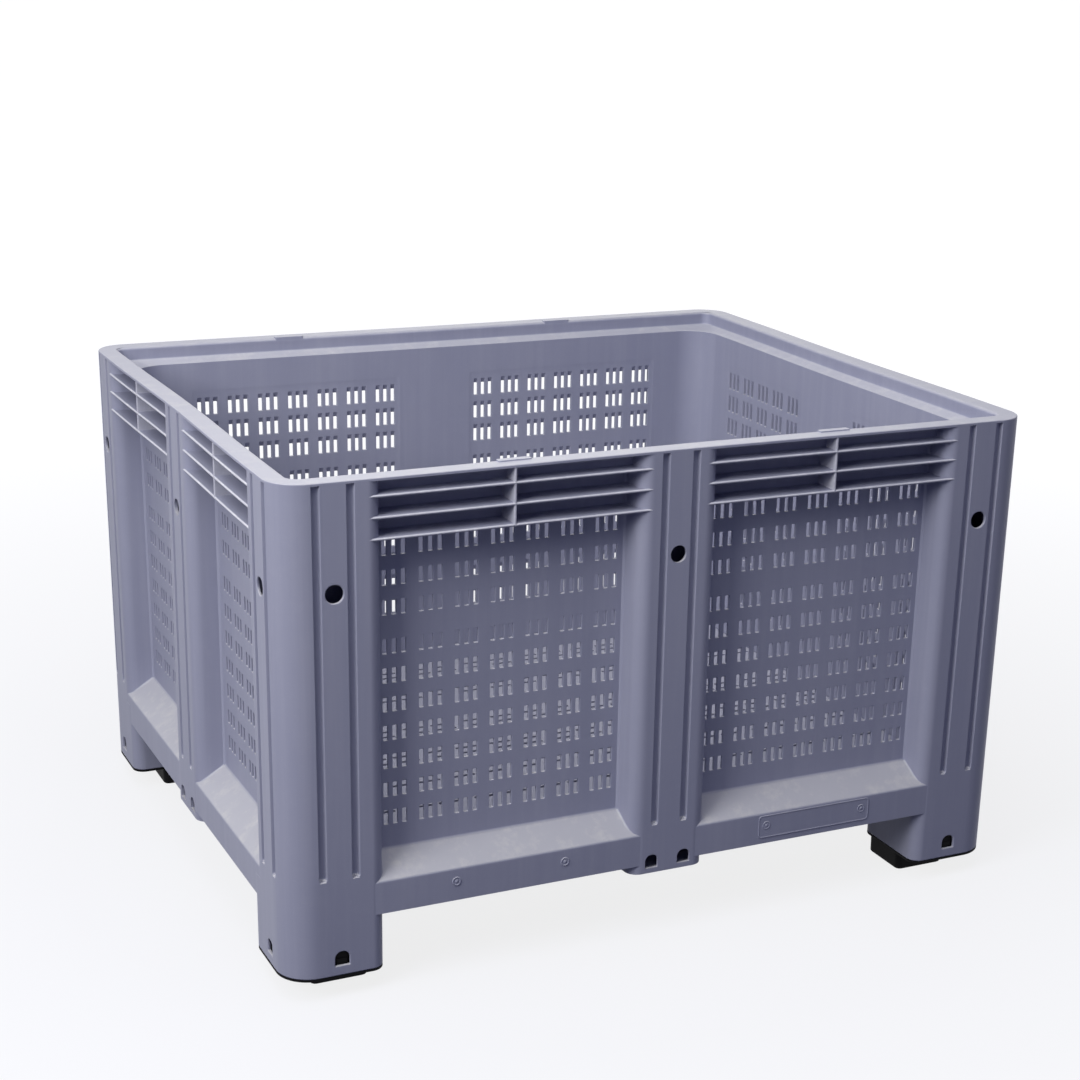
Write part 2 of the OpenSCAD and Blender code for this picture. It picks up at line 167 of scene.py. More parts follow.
class FruitBinColours(bpy.types.PropertyGroup):
    """Colours of the bin and its stage."""

    body: colour("Body", "Grey-blue moulded plastic", (0.280, 0.292, 0.402))
    pale: colour("Pale", "Where the plastic is rubbed or has flowed paler", (0.402, 0.408, 0.510))
    # dust_and_painted_light: partly dust and scuffs, partly painted light that makes the faces that look up
    # lighter, the sills and the rim most of all
    dust_and_painted_light: colour("Dust and painted light", "Dust and scuffs, and painted light, on the faces that look up", (0.520, 0.520, 0.545))
    # rib_nose_highlight: a painted highlight, the bright front edges of the rim ribs where they catch the
    # light
    rib_nose_highlight: colour("Rib nose highlight", "Painted highlight on the front edges of the rim ribs", (0.900, 0.900, 0.940))
    cap: colour("Cap", "Black cap plastic", (0.005, 0.005, 0.006))
    floor: colour("Floor", "Floor of the stage", (0.085, 0.09, 0.12))


def sizes():
    """The sizes as plain millimetres, with the values that follow from them."""
    group = bpy.context.scene.fruit_bin_sizes
    unitless = ("taper", "rows", "groups_long", "groups_short")
    s = SimpleNamespace()
    for name in group.__annotations__:
        unit = 1 if name in unitless else 1 / MM
        setattr(s, name, getattr(group, name) * unit)
    low, high = (np.array(corner) / MM for corner in CAD_BOX)
    s.half_l, s.half_w = (high[0] - low[0]) / 2, (high[1] - low[1]) / 2
    s.column_flat = s.column_w / 2 - s.edge_r
    s.long_flat = s.post_long - s.edge_r
    s.short_flat = s.post_short - s.edge_r
    s.band_in = s.rim_w - s.rim_t
    s.ledge_z = s.rim_z - s.ledge_drop
    s.wall_top = s.ledge_z - s.ledge_slope
    s.beam_top = s.beam_z + s.beam_h
    s.sill_top = s.beam_top + s.sill_rise
    s.floor_under = s.floor_z - s.floor_t
    s.face_top = s.rim_z - s.rim_t
    s.hole_half = s.hole_d / 2 + 4
    s.window_half = s.window_r + 3
    return s


def side_facts(s, side):
    """Half the length of a side, the flat width of its posts and its number of slot groups."""
    if side in ("front", "back"):
        return s.half_l, s.long_flat, s.groups_long
    return s.half_w, s.short_flat, s.groups_short


def panel_middle(s, side):
    """Middle of a panel, measured along its side from the side's own middle."""
    half, flat, _ = side_facts(s, side)
    return (s.column_w / 2 + half - flat - s.edge_r) / 2


class Skin:
    """Gathers the points and faces of one piece, in millimetres."""

    def __init__(self):
        self.points, self.faces, self.count = [], [], 0

    def add(self, points, faces):
        """Adds points and the faces between them, which count from the first of these points."""
        points = np.asarray(points, float).reshape(-1, 3)
        self.points.append(points)
        self.faces += (np.asarray(faces) + self.count).tolist()
        self.count += len(points)

    def grid(self, points, wrap=False, keep=None):
        """Quads between the points of a grid. With wrap the last column joins the first."""
        rows, cols = points.shape[:2]
        quads = grid_quads(rows, cols, wrap)
        self.add(points, quads if keep is None else quads[keep.reshape(-1)])

    def ngon(self, points):
        """One flat face through all the points."""
        self.add(points, [list(range(len(points)))])

    def tube(self, loops):
        """A closed solid between loops of points, with a flat face at each end."""
        self.grid(loops, wrap=True)
        self.ngon(loops[0][::-1])
        self.ngon(loops[-1])

    def place(self, function):
        """All points, moved by a function on the whole array."""
        return function(np.concatenate(self.points))


def grid_quads(rows, cols, wrap=False):
    """Quads of a grid of points counted row by row: each point, its next, and the two of the next row."""
    i, j = np.meshgrid(np.arange(rows - 1), np.arange(cols if wrap else cols - 1), indexing="ij")
    k = (j + 1) % cols
    return np.stack([i * cols + j, i * cols + k, (i + 1) * cols + k, (i + 1) * cols + j], -1).reshape(-1, 4)


def joined(*columns):
    """Stacks arrays of coordinates, or plain numbers, into points."""
    return np.stack(np.broadcast_arrays(*columns), -1).astype(float)


def arc(centre, radius, start, end, steps):
    """Points on a circle between two angles in degrees."""
    angle = np.radians(np.linspace(start, end, steps + 1))
    return joined(centre[0] + radius * np.cos(angle), centre[1] + radius * np.sin(angle))


def circle(centre, radius, steps=32):
    """Points round a whole circle, without the repeated last one."""
    return arc(centre, radius, 0, 360, steps)[:-1]


def rounded_box(width, height, radius, steps=4, centre=(0, 0)):
    """Outline of a rectangle with round corners, anticlockwise."""
    x, y = width / 2 - radius, height / 2 - radius
    corners = ((x, y, 0), (-x, y, 90), (-x, -y, 180), (x, -y, 270))
    return np.concatenate([
        arc((centre[0] + cx, centre[1] + cy), radius, turn, turn + 90, steps) for cx, cy, turn in corners
    ])


def arch(centre, radius, base):
    """Outline of an arched window: a half circle over a square foot with slightly round corners."""
    left, right, soft = centre - radius, centre + radius, 1.2
    return np.concatenate([
        arc((left + soft, base + soft), soft, 180, 270, 2),
        arc((right - soft, base + soft), soft, 270, 360, 2),
        arc((centre, base + radius), radius, 0, 180, 16),
    ])


def tri_patch(loop, outline):
    """Points and triangles between a loop and a convex outline inside it, both anticlockwise."""
    count, inside_count = len(loop), len(outline)
    edges = [(i, (i + 1) % count) for i in range(count)]
    edges += [(count + i, count + (i + 1) % inside_count) for i in range(inside_count)]
    corners = [Vector(p) for p in np.vstack([loop, outline])]
    flat, _, faces, _, _, _ = delaunay_2d_cdt(corners, edges, [], 1, 1e-6)
    flat, faces = np.array([tuple(p) for p in flat]), np.array(faces)
    centres = flat[faces].mean(1)
    step = np.roll(outline, -1, 0) - outline
    offset = centres[:, None] - outline[None]
    turn = step[None, :, 0] * offset[..., 1] - step[None, :, 1] * offset[..., 0]
    return flat, faces[~(turn > 0).all(1)]


def weld(mesh):
    """Joins points that meet and turns all faces outwards."""
    meet, shortest = 2e-6, 1e-6
    work = bmesh.new()
    work.from_mesh(mesh)
    bmesh.ops.remove_doubles(work, verts=work.verts, dist=meet)
    bmesh.ops.dissolve_degenerate(work, edges=work.edges, dist=shortest)
    bmesh.ops.recalc_face_normals(work, faces=work.faces)
    work.to_mesh(mesh)
    work.free()


def settle(piece):
    """Applies the piece's modifiers."""
    settled = piece.evaluated_get(bpy.context.evaluated_depsgraph_get())
    mesh = bpy.data.meshes.new_from_object(settled)
    mesh.name = piece.data.name
    piece.modifiers.clear()
    piece.data = mesh


def mark_round_edges(mesh, plain):
    """Marks the open edges and flat ends of a skin to be rounded, except those at a plain height."""
    work = bmesh.new()
    work.from_mesh(mesh)
    weight = work.edges.layers.float.new("bevel_weight_edge")
    for edge in work.edges:
        round_flat_end = len(edge.link_faces) == 2 and max(len(f.verts) for f in edge.link_faces) > 4
        if edge.is_boundary or round_flat_end:
            edge[weight] = 0 if all(plain(v.co.z / MM) for v in edge.verts) else 1
    work.to_mesh(mesh)
    work.free()


def make_piece(name, skin, place, material, nodes=(), wall=0, round_edges=0, plain=None):
    """Turns a skin into a finished object on the frame.

    wall thickens an open skin inwards. round_edges rounds the edges of its openings and ends, except at the
    heights for which plain is true.
    """
    sharp_angle = math.radians(38)
    mesh = bpy.data.meshes.new(name)
    mesh.from_pydata((skin.place(place) * MM).tolist(), [], skin.faces)
    weld(mesh)
    piece = bpy.data.objects.new(name, mesh)
    bpy.context.scene.collection.objects.link(piece)
    if wall:
        if plain:
            mark_round_edges(mesh, plain)
        thicken = piece.modifiers.new("Wall", "SOLIDIFY")
        thicken.thickness, thicken.offset, thicken.use_even_offset = wall * MM, -1, True
        settle(piece)
    piece.data.shade_smooth()
    piece.data.set_sharp_from_angle(angle=sharp_angle)
    if round_edges:
        soften = piece.modifiers.new("Round edges", "BEVEL")
        soften.width, soften.segments, soften.limit_method = round_edges * MM, 3, "WEIGHT"
        soften.use_clamp_overlap = True
    even = piece.modifiers.new("Even shading", "WEIGHTED_NORMAL")
    even.keep_sharp = True
    settle(piece)
    piece.data.materials.clear()
    piece.data.materials.append(material)
    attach(piece, "root")
    if nodes:
        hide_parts(*nodes)
    return piece


def taper(s, z):
    """How far an outside face stands back at height z: the drop from the rim times the taper."""
    return s.taper * np.clip(s.rim_z - z, 0, None)


def bow(s, along, z, span):
    """How far a wall has bent inwards.

    A squared cosine of the place between its posts, times the height from the base to the rim.
    """
    across = np.cos(np.clip(np.abs(along) / span, 0, 1) * math.pi / 2) ** 2
    return s.bow * across * np.clip((z - s.beam_z) / (s.rim_z - s.beam_z), 0, 1)


def bent(s, p):
    """Bends the points of the rim inwards together with the walls under it."""
    x, y, z = p.T
    by_long = np.abs(y) > s.half_w - 2 * s.inner
    by_short = np.abs(x) > s.half_l - 2 * s.inner
    move_y = bow(s, x, z, s.half_l - s.post_long) * by_long
    move_x = bow(s, y, z, s.half_w - s.post_short) * by_short
    return joined(x - np.sign(x) * move_x, y - np.sign(y) * move_y, z)


def on_side(s, side, half=1):
    """Maps along, depth and height on one side to the bin. half is -1 for the half towards -X or -Y."""
    half_side, flat, _ = side_facts(s, side)

    def place(p):
        along, z = p[:, 0] * half, p[:, 2]
        depth = p[:, 1] + taper(s, z) + bow(s, along, z, half_side - flat - s.edge_r)
        return {
            "front": lambda: joined(along, depth - s.half_w, z),
            "back": lambda: joined(along, s.half_w - depth, z),
            "left": lambda: joined(depth - s.half_l, along, z),
            "right": lambda: joined(s.half_l - depth, along, z),
        }[side]()

    return place


def on_corner(s, corner):
    """Maps distances from the two outside faces, and height, to a corner.

    The taper fades to nothing in a straight line where a post's face meets its reveal.
    """
    sx, sy = CORNERS[corner]
    fade = 45

    def place(p):
        lean = taper(s, p[:, 2])
        a = p[:, 0] + lean * np.clip((s.post_long - p[:, 0]) / fade, 0, 1)
        b = p[:, 1] + lean * np.clip((s.post_short - p[:, 1]) / fade, 0, 1)
        return joined(sx * (s.half_l - a), sy * (s.half_w - b), p[:, 2])

    return place


def edge_reach(s, depth):
    """How far a post or column reaches past its flat face at a depth.

    A quarter circle down to the edge radius, then the reveal, which leans by a straight line.
    """
    depth = np.asarray(depth, float)
    near = np.clip(depth, 0, s.edge_r)
    curve = np.sqrt(np.clip(s.edge_r ** 2 - (s.edge_r - near) ** 2, 0, None))
    return curve + s.lean * np.clip(depth - s.edge_r, 0, s.recess - s.edge_r) / (s.recess - s.edge_r)


def edge_depths(s):
    """Depths of the points along a rounded edge and its reveal.

    Even turns of a quarter circle, then the depths of the rim, the panel and the inside wall.
    """
    angle = np.radians(np.linspace(0, 90, 11)[1:])
    return np.concatenate([s.edge_r * (1 - np.cos(angle)), [s.band_in, s.rim_w, s.recess, s.inner]])


def groove_lines(s, centre):
    """Places of the grid lines across the two grooves beside a centre line, close on their walls."""
    beside = np.array([0.4, 0.2, -0.05, -0.35, -0.65, -0.95, -1.2, -1.4])
    wall = s.groove_w / 2 + beside
    across = np.concatenate([-wall, [0], wall[::-1]])
    return np.concatenate([centre + pm * s.groove_pitch / 2 + across for pm in (-1, 1)])


def groove_sink(s, along, z, centre):
    """Depth of the grooves, with round ends.

    A smooth step, three squares less two cubes, of the distance inside the edge of the nearer groove.
    """
    wall_w, margin = 1.6, 0.2
    across = np.abs(np.abs(along - centre) - s.groove_pitch / 2)
    below = np.clip(s.groove_z - z, 0, None)
    inside = s.groove_w / 2 + margin - np.hypot(across, below)
    step = np.clip(inside / wall_w, 0, 1)
    return s.groove_d * step * step * (3 - 2 * step)


def groove_rows(s):
    """Heights of the grid lines around the grooves' round ends."""
    return s.groove_z + np.concatenate([-s.groove_w / 2 + np.arange(-0.4, 3.2, 0.45), [-2, -0.8, 0, 4]])


def top_of(s, depth, top):
    """Where a skin ends under the rim: outside the rim's band at its plate, inside it under the ledge."""
    return np.where(np.asarray(depth) <= s.band_in + 0.01, top, s.wall_top - 1)


def either_side(middle, half):
    """The two places at a distance on both sides of a middle."""
    return [middle - half, middle + half]


def cut_block(lines, rows, low, high, base, top):
    """Index ranges of the grid block between two lines and two rows."""
    slack = 0.01
    i0, i1 = np.searchsorted(rows, (base - slack, top - slack))
    ends = [int(np.argmin(np.abs(lines - v))) for v in (low, high)]
    return i0, i1, min(ends), max(ends)


def holed_tube(skin, points, blocks):
    """Adds a closed tube with holes. Each block of its grid is taken out and filled again round an outline.

    blocks are (axis along the face, index ranges of the block, outline).
    """
    keep = np.ones((points.shape[0] - 1, points.shape[1]), bool)
    for axis, (i0, i1, j0, j1), outline in blocks:
        keep[i0:i1, j0:j1] = False
        border = [points[i0, j0:j1], points[i0:i1, j1], points[i1, j1:j0:-1], points[i1:i0:-1, j0]]
        loop = np.concatenate(border)[:, [axis, 2]]
        if points[i0, j0, axis] > points[i0, j1, axis]:
            loop = loop[::-1]
        flat, tris = tri_patch(loop, outline)
        filled = np.zeros((len(flat), 3))
        filled[:, axis], filled[:, 2] = flat[:, 0], flat[:, 1]
        skin.add(filled, tris)
    skin.grid(points, True, keep)


def column_skin(s):
    """A mid column: its plan outline, with grooves sunk into it, carried from the stub up to the rim."""
    window_x = s.stub_window_x
    lines = [groove_lines(s, 0), [-s.column_flat, s.column_flat, -s.hole_half, s.hole_half]]
    for pm in (-1, 1):
        lines.append(either_side(pm * window_x, s.window_half))
    lines = np.unique(np.round(np.concatenate(lines), 4))
    lines = lines[np.abs(lines) <= s.column_flat]
    depth = edge_depths(s)
    right = s.column_flat + edge_reach(s, depth)
    along = np.concatenate([lines, right, -right[::-1]])
    deep = np.concatenate([0 * lines, depth, depth[::-1]])
    window_rows = either_side(s.stub_window_z + s.window_r, s.window_half)
    hole_rows = either_side(s.hole_z, s.hole_half)
    rows = np.unique(np.concatenate([[s.stub_z], window_rows, groove_rows(s), hole_rows, [s.face_top]]))
    z = np.broadcast_to(rows[:, None], (len(rows), len(along))).copy()
    z[-1] = top_of(s, deep, s.face_top)
    on_face = np.arange(len(along)) < len(lines)
    sink = np.where(on_face, groove_sink(s, along[None], z, 0), 0)
    points = joined(np.broadcast_to(along, z.shape), deep + sink, z)
    hole = cut_block(lines, rows, -s.hole_half, s.hole_half, *hole_rows)
    blocks = [(0, hole, circle((0, s.hole_z), s.hole_d / 2))]
    for x in (-window_x, window_x):
        window = cut_block(lines, rows, *either_side(x, s.window_half), *window_rows)
        blocks.append((0, window, arch(x, s.window_r, s.stub_window_z)))
    skin = Skin()
    holed_tube(skin, points, blocks)
    skin.ngon(points[0])
    return skin


def corner_lines(s):
    """Distances from the corner at which a post's grid has lines, along its long and its short face."""
    lines = []
    for hole, flat, window in (
        (s.hole_long, s.long_flat, s.window_long), (s.hole_short, s.short_flat, s.window_short),
    ):
        cuts = either_side(hole, s.hole_half) + either_side(window, s.window_half)
        lines.append(np.unique(np.round([*groove_lines(s, hole), s.corner_r, flat, *cuts], 4)))
    long, short = lines
    return long[long >= s.corner_r], short


def corner_front(s, long_end, short_end):
    """The outside path round a corner, from the long face to the short one, with each point's face.

    The faces are 1 for the long one, 2 for the short one and 0 for the bend between them.
    """
    long, short = corner_lines(s)
    long = np.append(long[long < long_end], long_end)[::-1]
    short = np.append(short[short < short_end], short_end)
    first = math.degrees(math.asin((s.corner_r - short[0]) / s.corner_r))
    bend = arc((s.corner_r, s.corner_r), s.corner_r, 270, 180 + first, 12)[1:-1]
    shallow = np.clip(s.corner_r - short, 0, None)
    short_in = s.corner_r - np.sqrt(s.corner_r ** 2 - shallow ** 2)
    path = np.concatenate([joined(long, 0), bend, joined(short_in, short)])
    face = np.concatenate([np.full(len(long), 1), np.zeros(len(bend)), np.full(len(short), 2)])
    return path, face


def sunk(s, path, face, z):
    """The points of a corner path at heights z, with the grooves sunk into its two faces."""
    a, b = (np.broadcast_to(path[:, k], z.shape) for k in (0, 1))
    in_long = np.where(face == 1, groove_sink(s, a, z, s.hole_long), 0)
    in_short = np.where(face == 2, groove_sink(s, b, z, s.hole_short), 0)
    return joined(a + in_short, b + in_long, z)


def post_skin(s):
    """The upper part of a corner post: a closed plan path round both faces and the round inside corner."""
    depth = edge_depths(s)
    reach = edge_reach(s, depth)
    front, face = corner_front(s, s.long_flat, s.short_flat)
    start = joined(s.long_flat + reach, depth)[::-1]
    end = joined(depth, s.short_flat + reach)
    middle = s.inner + s.inner_r
    inside = arc((middle, middle), s.inner_r, 180, 270, 14)
    path = np.concatenate([start, front, end, inside])
    face = np.concatenate([np.zeros(len(start)), face, np.zeros(len(end) + len(inside))])
    deep = np.concatenate([depth[::-1], np.zeros(len(front)), depth, np.full(len(inside), s.inner)])
    hole_rows = either_side(s.hole_z, s.hole_half)
    rows = np.unique(np.concatenate([[s.floor_under], groove_rows(s), hole_rows, [s.face_top]]))
    z = np.broadcast_to(rows[:, None], (len(rows), len(path))).copy()
    z[-1] = top_of(s, deep, s.face_top)
    points = sunk(s, path, face, z)
    skin = Skin()
    blocks = []
    for axis, centre in ((0, s.hole_long), (1, s.hole_short)):
        lines = np.where(face == axis + 1, path[:, axis], NEITHER_SIDE)
        block = cut_block(lines, rows, *either_side(centre, s.hole_half), *hole_rows)
        blocks.append((axis, block, circle((centre, s.hole_z), s.hole_d / 2)))
    holed_tube(skin, points, blocks)
    return skin


def foot_skin(s):
    """A foot: a rounded square tube below the post, with an arched window in each outside face."""
    far, r = s.foot_w, s.edge_r
    front, face = corner_front(s, far - r, far - r)
    path = np.concatenate([
        arc((far - r, r), r, 0, -90, 8)[:-1], front,
        arc((r, far - r), r, 180, 90, 8)[1:], arc((far - r, far - r), r, 90, 0, 8),
    ])
    face = np.concatenate([np.zeros(8), face, np.zeros(8 + 9)])
    window_rows = either_side(s.window_z + s.window_r, s.window_half)
    rows = np.unique([s.foot_z, *window_rows, s.floor_under])
    z = np.broadcast_to(rows[:, None], (len(rows), len(path)))
    points = joined(np.broadcast_to(path[:, 0], z.shape), np.broadcast_to(path[:, 1], z.shape), z)
    skin = Skin()
    blocks = []
    for axis, centre in ((0, s.window_long), (1, s.window_short)):
        lines = np.where(face == axis + 1, path[:, axis], NEITHER_SIDE)
        block = cut_block(lines, rows, *either_side(centre, s.window_half), *window_rows)
        blocks.append((axis, block, arch(centre, s.window_r, s.window_z)))
    holed_tube(skin, points, blocks)
    return skin


def slotted_plate(skin, front, back, slots, levels, corner):
    """A plate with slots, as a closed solid.

    front and back are grids of points. slots marks the cells that hold a slot. levels lists the rings down
    a slot, from front to back, as (function for the low corner, function for the high corner, depth, how
    much wider the ring is).
    """
    rows, cols = slots.shape
    for grid in (front, back):
        skin.grid(grid, keep=~slots)
    border = np.concatenate([
        joined(0, np.arange(cols)), joined(np.arange(rows), cols), joined(rows, np.arange(cols, 0, -1)),
        joined(np.arange(rows, 0, -1), 0),
    ]).astype(int)
    ring = np.stack([front[border[:, 0], border[:, 1]], back[border[:, 0], border[:, 1]]])
    skin.grid(ring, wrap=True)
    i, j = np.nonzero(slots)
    for grid, level in ((front, levels[0]), (back, levels[-1])):
        box = np.stack([grid[i, j], grid[i, j + 1], grid[i + 1, j + 1], grid[i + 1, j]], 1)
        frame_round_slot(skin, box, slot_ring(level, i, j, corner))
    rings = np.stack([slot_ring(level, i, j, corner) for level in levels], 1)
    count, depth, around = rings.shape[:3]
    quads = grid_quads(depth, around, True)
    faces = quads[None] + (np.arange(count) * depth * around)[:, None, None]
    skin.add(rings, faces.reshape(-1, 4))


def slot_ring(level, i, j, corner):
    """The ring of points round each slot at one level: a rectangle with four points on each corner arc."""
    low, high, depth, grow = level
    low, high = low(i, j) - grow, high(i, j) + grow
    r = corner + grow
    quarter = np.radians([0, 30, 60, 90])
    turn = np.concatenate([quarter + k * np.pi / 2 for k in range(4)])
    sx = np.repeat([1, -1, -1, 1], 4)
    sz = np.repeat([1, 1, -1, -1], 4)
    x = np.where(sx > 0, high[:, :1], low[:, :1]) - sx * r + r * np.cos(turn)
    z = np.where(sz > 0, high[:, 1:], low[:, 1:]) - sz * r + r * np.sin(turn)
    return joined(x, np.broadcast_to(depth, x.shape), z)


def frame_round_slot(skin, box, ring):
    """Faces between the four corners of each slot's cell and its ring of 16 points."""
    count = len(box)
    points = np.concatenate([box, ring], 1)
    start = (np.arange(count) * 20)[:, None, None]
    corner_of = (2, 3, 0, 1)
    tris, quads = [], []
    for quarter in range(4):
        first = 4 + 4 * quarter
        corner = corner_of[quarter]
        tris += [[corner, first + k, first + k + 1] for k in range(3)]
        quads.append([corner, first + 3, 4 + (4 * quarter + 4) % 16, corner_of[(quarter + 1) % 4]])
    skin.add(points, (np.array(tris)[None] + start).reshape(-1, 3))
    skin.faces += (np.array(quads)[None] + start + skin.count - len(points) * 20).reshape(-1, 4).tolist()


def wall_panel_skin(s, side):
    """A slotted panel: two grids of lines that follow the slots, with fillets to the posts and the sill.

    The slots stand in groups of three on even pitches, in rows on an even pitch with one wider gap. A fillet
    is a quarter circle. Inside, the field that holds the slots is sunk a little.
    """
    half, flat, groups = side_facts(s, side)
    left = s.column_flat + float(edge_reach(s, s.recess))
    right = half - flat - float(edge_reach(s, s.recess))
    middle = panel_middle(s, side)
    group = (np.arange(groups) - (groups - 1) / 2) * s.group_pitch
    centres = (middle + group[:, None] + np.array([-1, 0, 1]) * s.slot_pitch).ravel()
    row = np.arange(s.rows)
    bases = s.row_z + row * s.row_pitch + np.where(row < s.rows - 3, 0, s.row_gap)
    half_slot, grow = s.slot_w / 2, 0.9
    fillet = 3  # radius of the fillet between panel and reveal
    turn = np.radians([0, 30, 60, 90])
    curl_along, curl_depth = fillet * (1 - np.sin(turn)), fillet * np.cos(turn)
    field_in, field_out = 7, 8.5  # the step round the slotted field inside, from its slots
    sunk_field = 0.7
    first = 6  # cells before the first slot, both along and up
    field = [centres[0] - half_slot - field_out, centres[0] - half_slot - field_in]
    field_far = [centres[-1] + half_slot + field_in, centres[-1] + half_slot + field_out]
    slot_lines = (centres[:, None] + (half_slot + grow) * np.array([-1, 1])).ravel()
    inner_half = half_slot + 0.3
    back_lines = (centres[:, None] + (inner_half + grow) * np.array([-1, 1])).ravel()
    edge = left + curl_along[::-1] - 0.4
    far_edge = right - curl_along + 0.4
    across = np.concatenate([edge, field, slot_lines, field_far, far_edge])
    across_back = np.concatenate([edge, field, back_lines, field_far, far_edge])
    across_back[:4] = left + np.arange(4) * 0.5
    across_back[-4:] = right - np.arange(3, -1, -1) * 0.5
    lift = np.concatenate([curl_depth, np.zeros(len(across) - 8), curl_depth[::-1]])
    foot = s.sill_top + np.array([-1.2, 0.2, 1.6, 3.4])
    foot_lift = np.array([2.2, 0.9, 0.2, 0])
    top = s.wall_top - 1

    def slot_rows(tall):
        return (bases[:, None] + np.array([-grow, tall + grow])).ravel()

    low_field = [bases[0] - 9, bases[0] - 7.5]
    field_top = bases[-1] + s.slot_h + s.slot_rise + 12
    head = [field_top, field_top + 1.5, top]
    up = np.concatenate([foot, low_field, slot_rows(s.slot_h), head])
    up_back = np.concatenate([foot, low_field, slot_rows(s.slot_h + s.slot_rise), head])
    raise_by = np.maximum(lift[None], np.concatenate([foot_lift, np.zeros(len(up) - 4)])[:, None])
    front = joined(*np.meshgrid(across, up, indexing="xy"), 0)[..., [0, 2, 1]]
    front[..., 1] = s.recess - raise_by
    back = joined(*np.meshgrid(across_back, up_back, indexing="xy"), 0)[..., [0, 2, 1]]
    in_field = np.zeros((len(up), len(across)))
    in_field[first - 1:-2, first - 1:1 - first] = 1
    back[..., 1] = s.inner - sunk_field * in_field
    slots = np.zeros((len(up) - 1, len(across) - 1), bool)
    slots[first:first + 2 * s.rows:2, first:first + 2 * len(centres):2] = True
    bottom = s.inner - sunk_field

    def low(widen):
        return lambda i, j: joined(
            centres[(j - first) // 2] - half_slot - widen, bases[(i - first) // 2]
        )

    def high(widen, rise):
        return lambda i, j: joined(
            centres[(j - first) // 2] + half_slot + widen, bases[(i - first) // 2] + s.slot_h + rise
        )

    levels = [
        (low(0), high(0, 0), s.recess, grow),
        (low(0), high(0, 0), s.recess + 0.25, 0.25),
        (low(0), high(0, 0), s.recess + 0.9, 0),
        (low(0.3), high(0.3, s.slot_rise), bottom - 0.6, 0),
        (low(0.3), high(0.3, s.slot_rise), bottom - 0.18, 0.25),
        (low(0.3), high(0.3, s.slot_rise), bottom, grow),
    ]
    skin = Skin()
    slotted_plate(skin, front, back, slots, levels, 1.2)
    return skin


def beam_skin(s, side):
    """A base beam: its face, rounded upper edge and sloping sill.

    The edge is an arc that meets the face and the straight sill without a kink. The ends curl up against
    the reveals by quarter circles, whose radius grows inwards along a smooth step from 0.2 to 3.6.
    """
    half, flat, _ = side_facts(s, side)
    face = 0.35
    bend = 5
    slope = math.atan2(s.sill_rise, s.recess - face)
    start = s.beam_top - bend * math.tan((math.pi / 2 - slope) / 2)
    turn = np.linspace(0, math.pi / 2 - slope, 6)
    edge_d = face + bend * (1 - np.cos(turn))
    edge_z = start + bend * np.sin(turn)
    along_slope = np.linspace(0, 1, 9)[1:]
    end_d, end_z = s.recess + 0.5, s.sill_top + 0.5 * math.tan(slope)
    depth = np.concatenate([[face] * 3, edge_d, edge_d[-1] + (end_d - edge_d[-1]) * along_slope])
    z = np.concatenate([
        [s.beam_z, s.beam_z + 14, start - 12], edge_z, edge_z[-1] + (end_z - edge_z[-1]) * along_slope,
    ])
    near = s.column_flat + edge_reach(s, depth) - 0.35
    far = half - flat - edge_reach(s, depth) + 0.35
    grow = np.clip((depth - 1.5) / 12, 0, 1)
    radius = 0.2 + 3.4 * grow * grow * (3 - 2 * grow)
    angle = np.radians([90, 68, 45, 22, 0])
    curl = radius[:, None] * (1 - np.sin(angle))
    lift = radius[:, None] * (1 - np.cos(angle)) / math.cos(slope)
    lift = lift * np.clip((depth - 1) / 3, 0, 1)[:, None]
    fill = np.linspace(0, 1, 12)[1:-1]
    left, right = near + radius, far - radius
    middle = left[:, None] + (right - left)[:, None] * fill
    along = np.concatenate([near[:, None] + curl, middle, far[:, None] - curl[:, ::-1]], 1)
    rise = np.concatenate([lift, 0 * middle, lift[:, ::-1]], 1)
    skin = Skin()
    skin.grid(joined(along, np.broadcast_to(depth[:, None], along.shape), z[:, None] + rise))
    return skin


def beam_inside_skin(s, side):
    """The inner leg of a beam, flush with the wall's inside, and evenly spaced upright ribs before it."""
    half, flat, _ = side_facts(s, side)
    reach = float(edge_reach(s, s.recess))
    left, right = s.column_flat + reach, half - flat - reach
    skin = Skin()
    box_between(skin, (left, s.recess + 1, s.beam_z), (right, s.inner, s.sill_top - 1.2))
    count, thick = 4, 4
    outline = joined(
        np.array([s.skin - 1, s.recess + 2, s.recess + 2, s.skin - 1]),
        np.array([s.beam_z + 0.5, s.beam_z + 0.5, s.sill_top - 5, s.beam_top - 5]),
    )
    start = s.column_w / 2
    span = half - flat - s.edge_r - start
    for k in range(1, count + 1):
        middle = start + k * span / (count + 1)
        loops = [joined(middle + pm * thick / 2, outline[:, 0], outline[:, 1]) for pm in (-1, 1)]
        skin.tube(np.stack(loops))
    return skin


def box_between(skin, low, high):
    """A plain block between two corners, as part of a piece."""
    width, depth = high[0] - low[0], high[1] - low[1]
    centre = ((low[0] + high[0]) / 2, (low[1] + high[1]) / 2)
    outline = rounded_box(width, depth, 0.3, 1, centre)
    skin.tube(np.stack([joined(outline[:, 0], outline[:, 1], z) for z in (low[2], high[2])]))


def rib_outline(s, front, back, middle, root):
    """Section of a rib: straight sides that part towards the root, and a half circle as its front edge."""
    thin = s.rib_t / 2 + 0.5
    nose = arc((front + thin, middle), thin, 90, 270, 8)
    return np.concatenate([[(back, middle + root)], nose, [(back, middle - root)]])


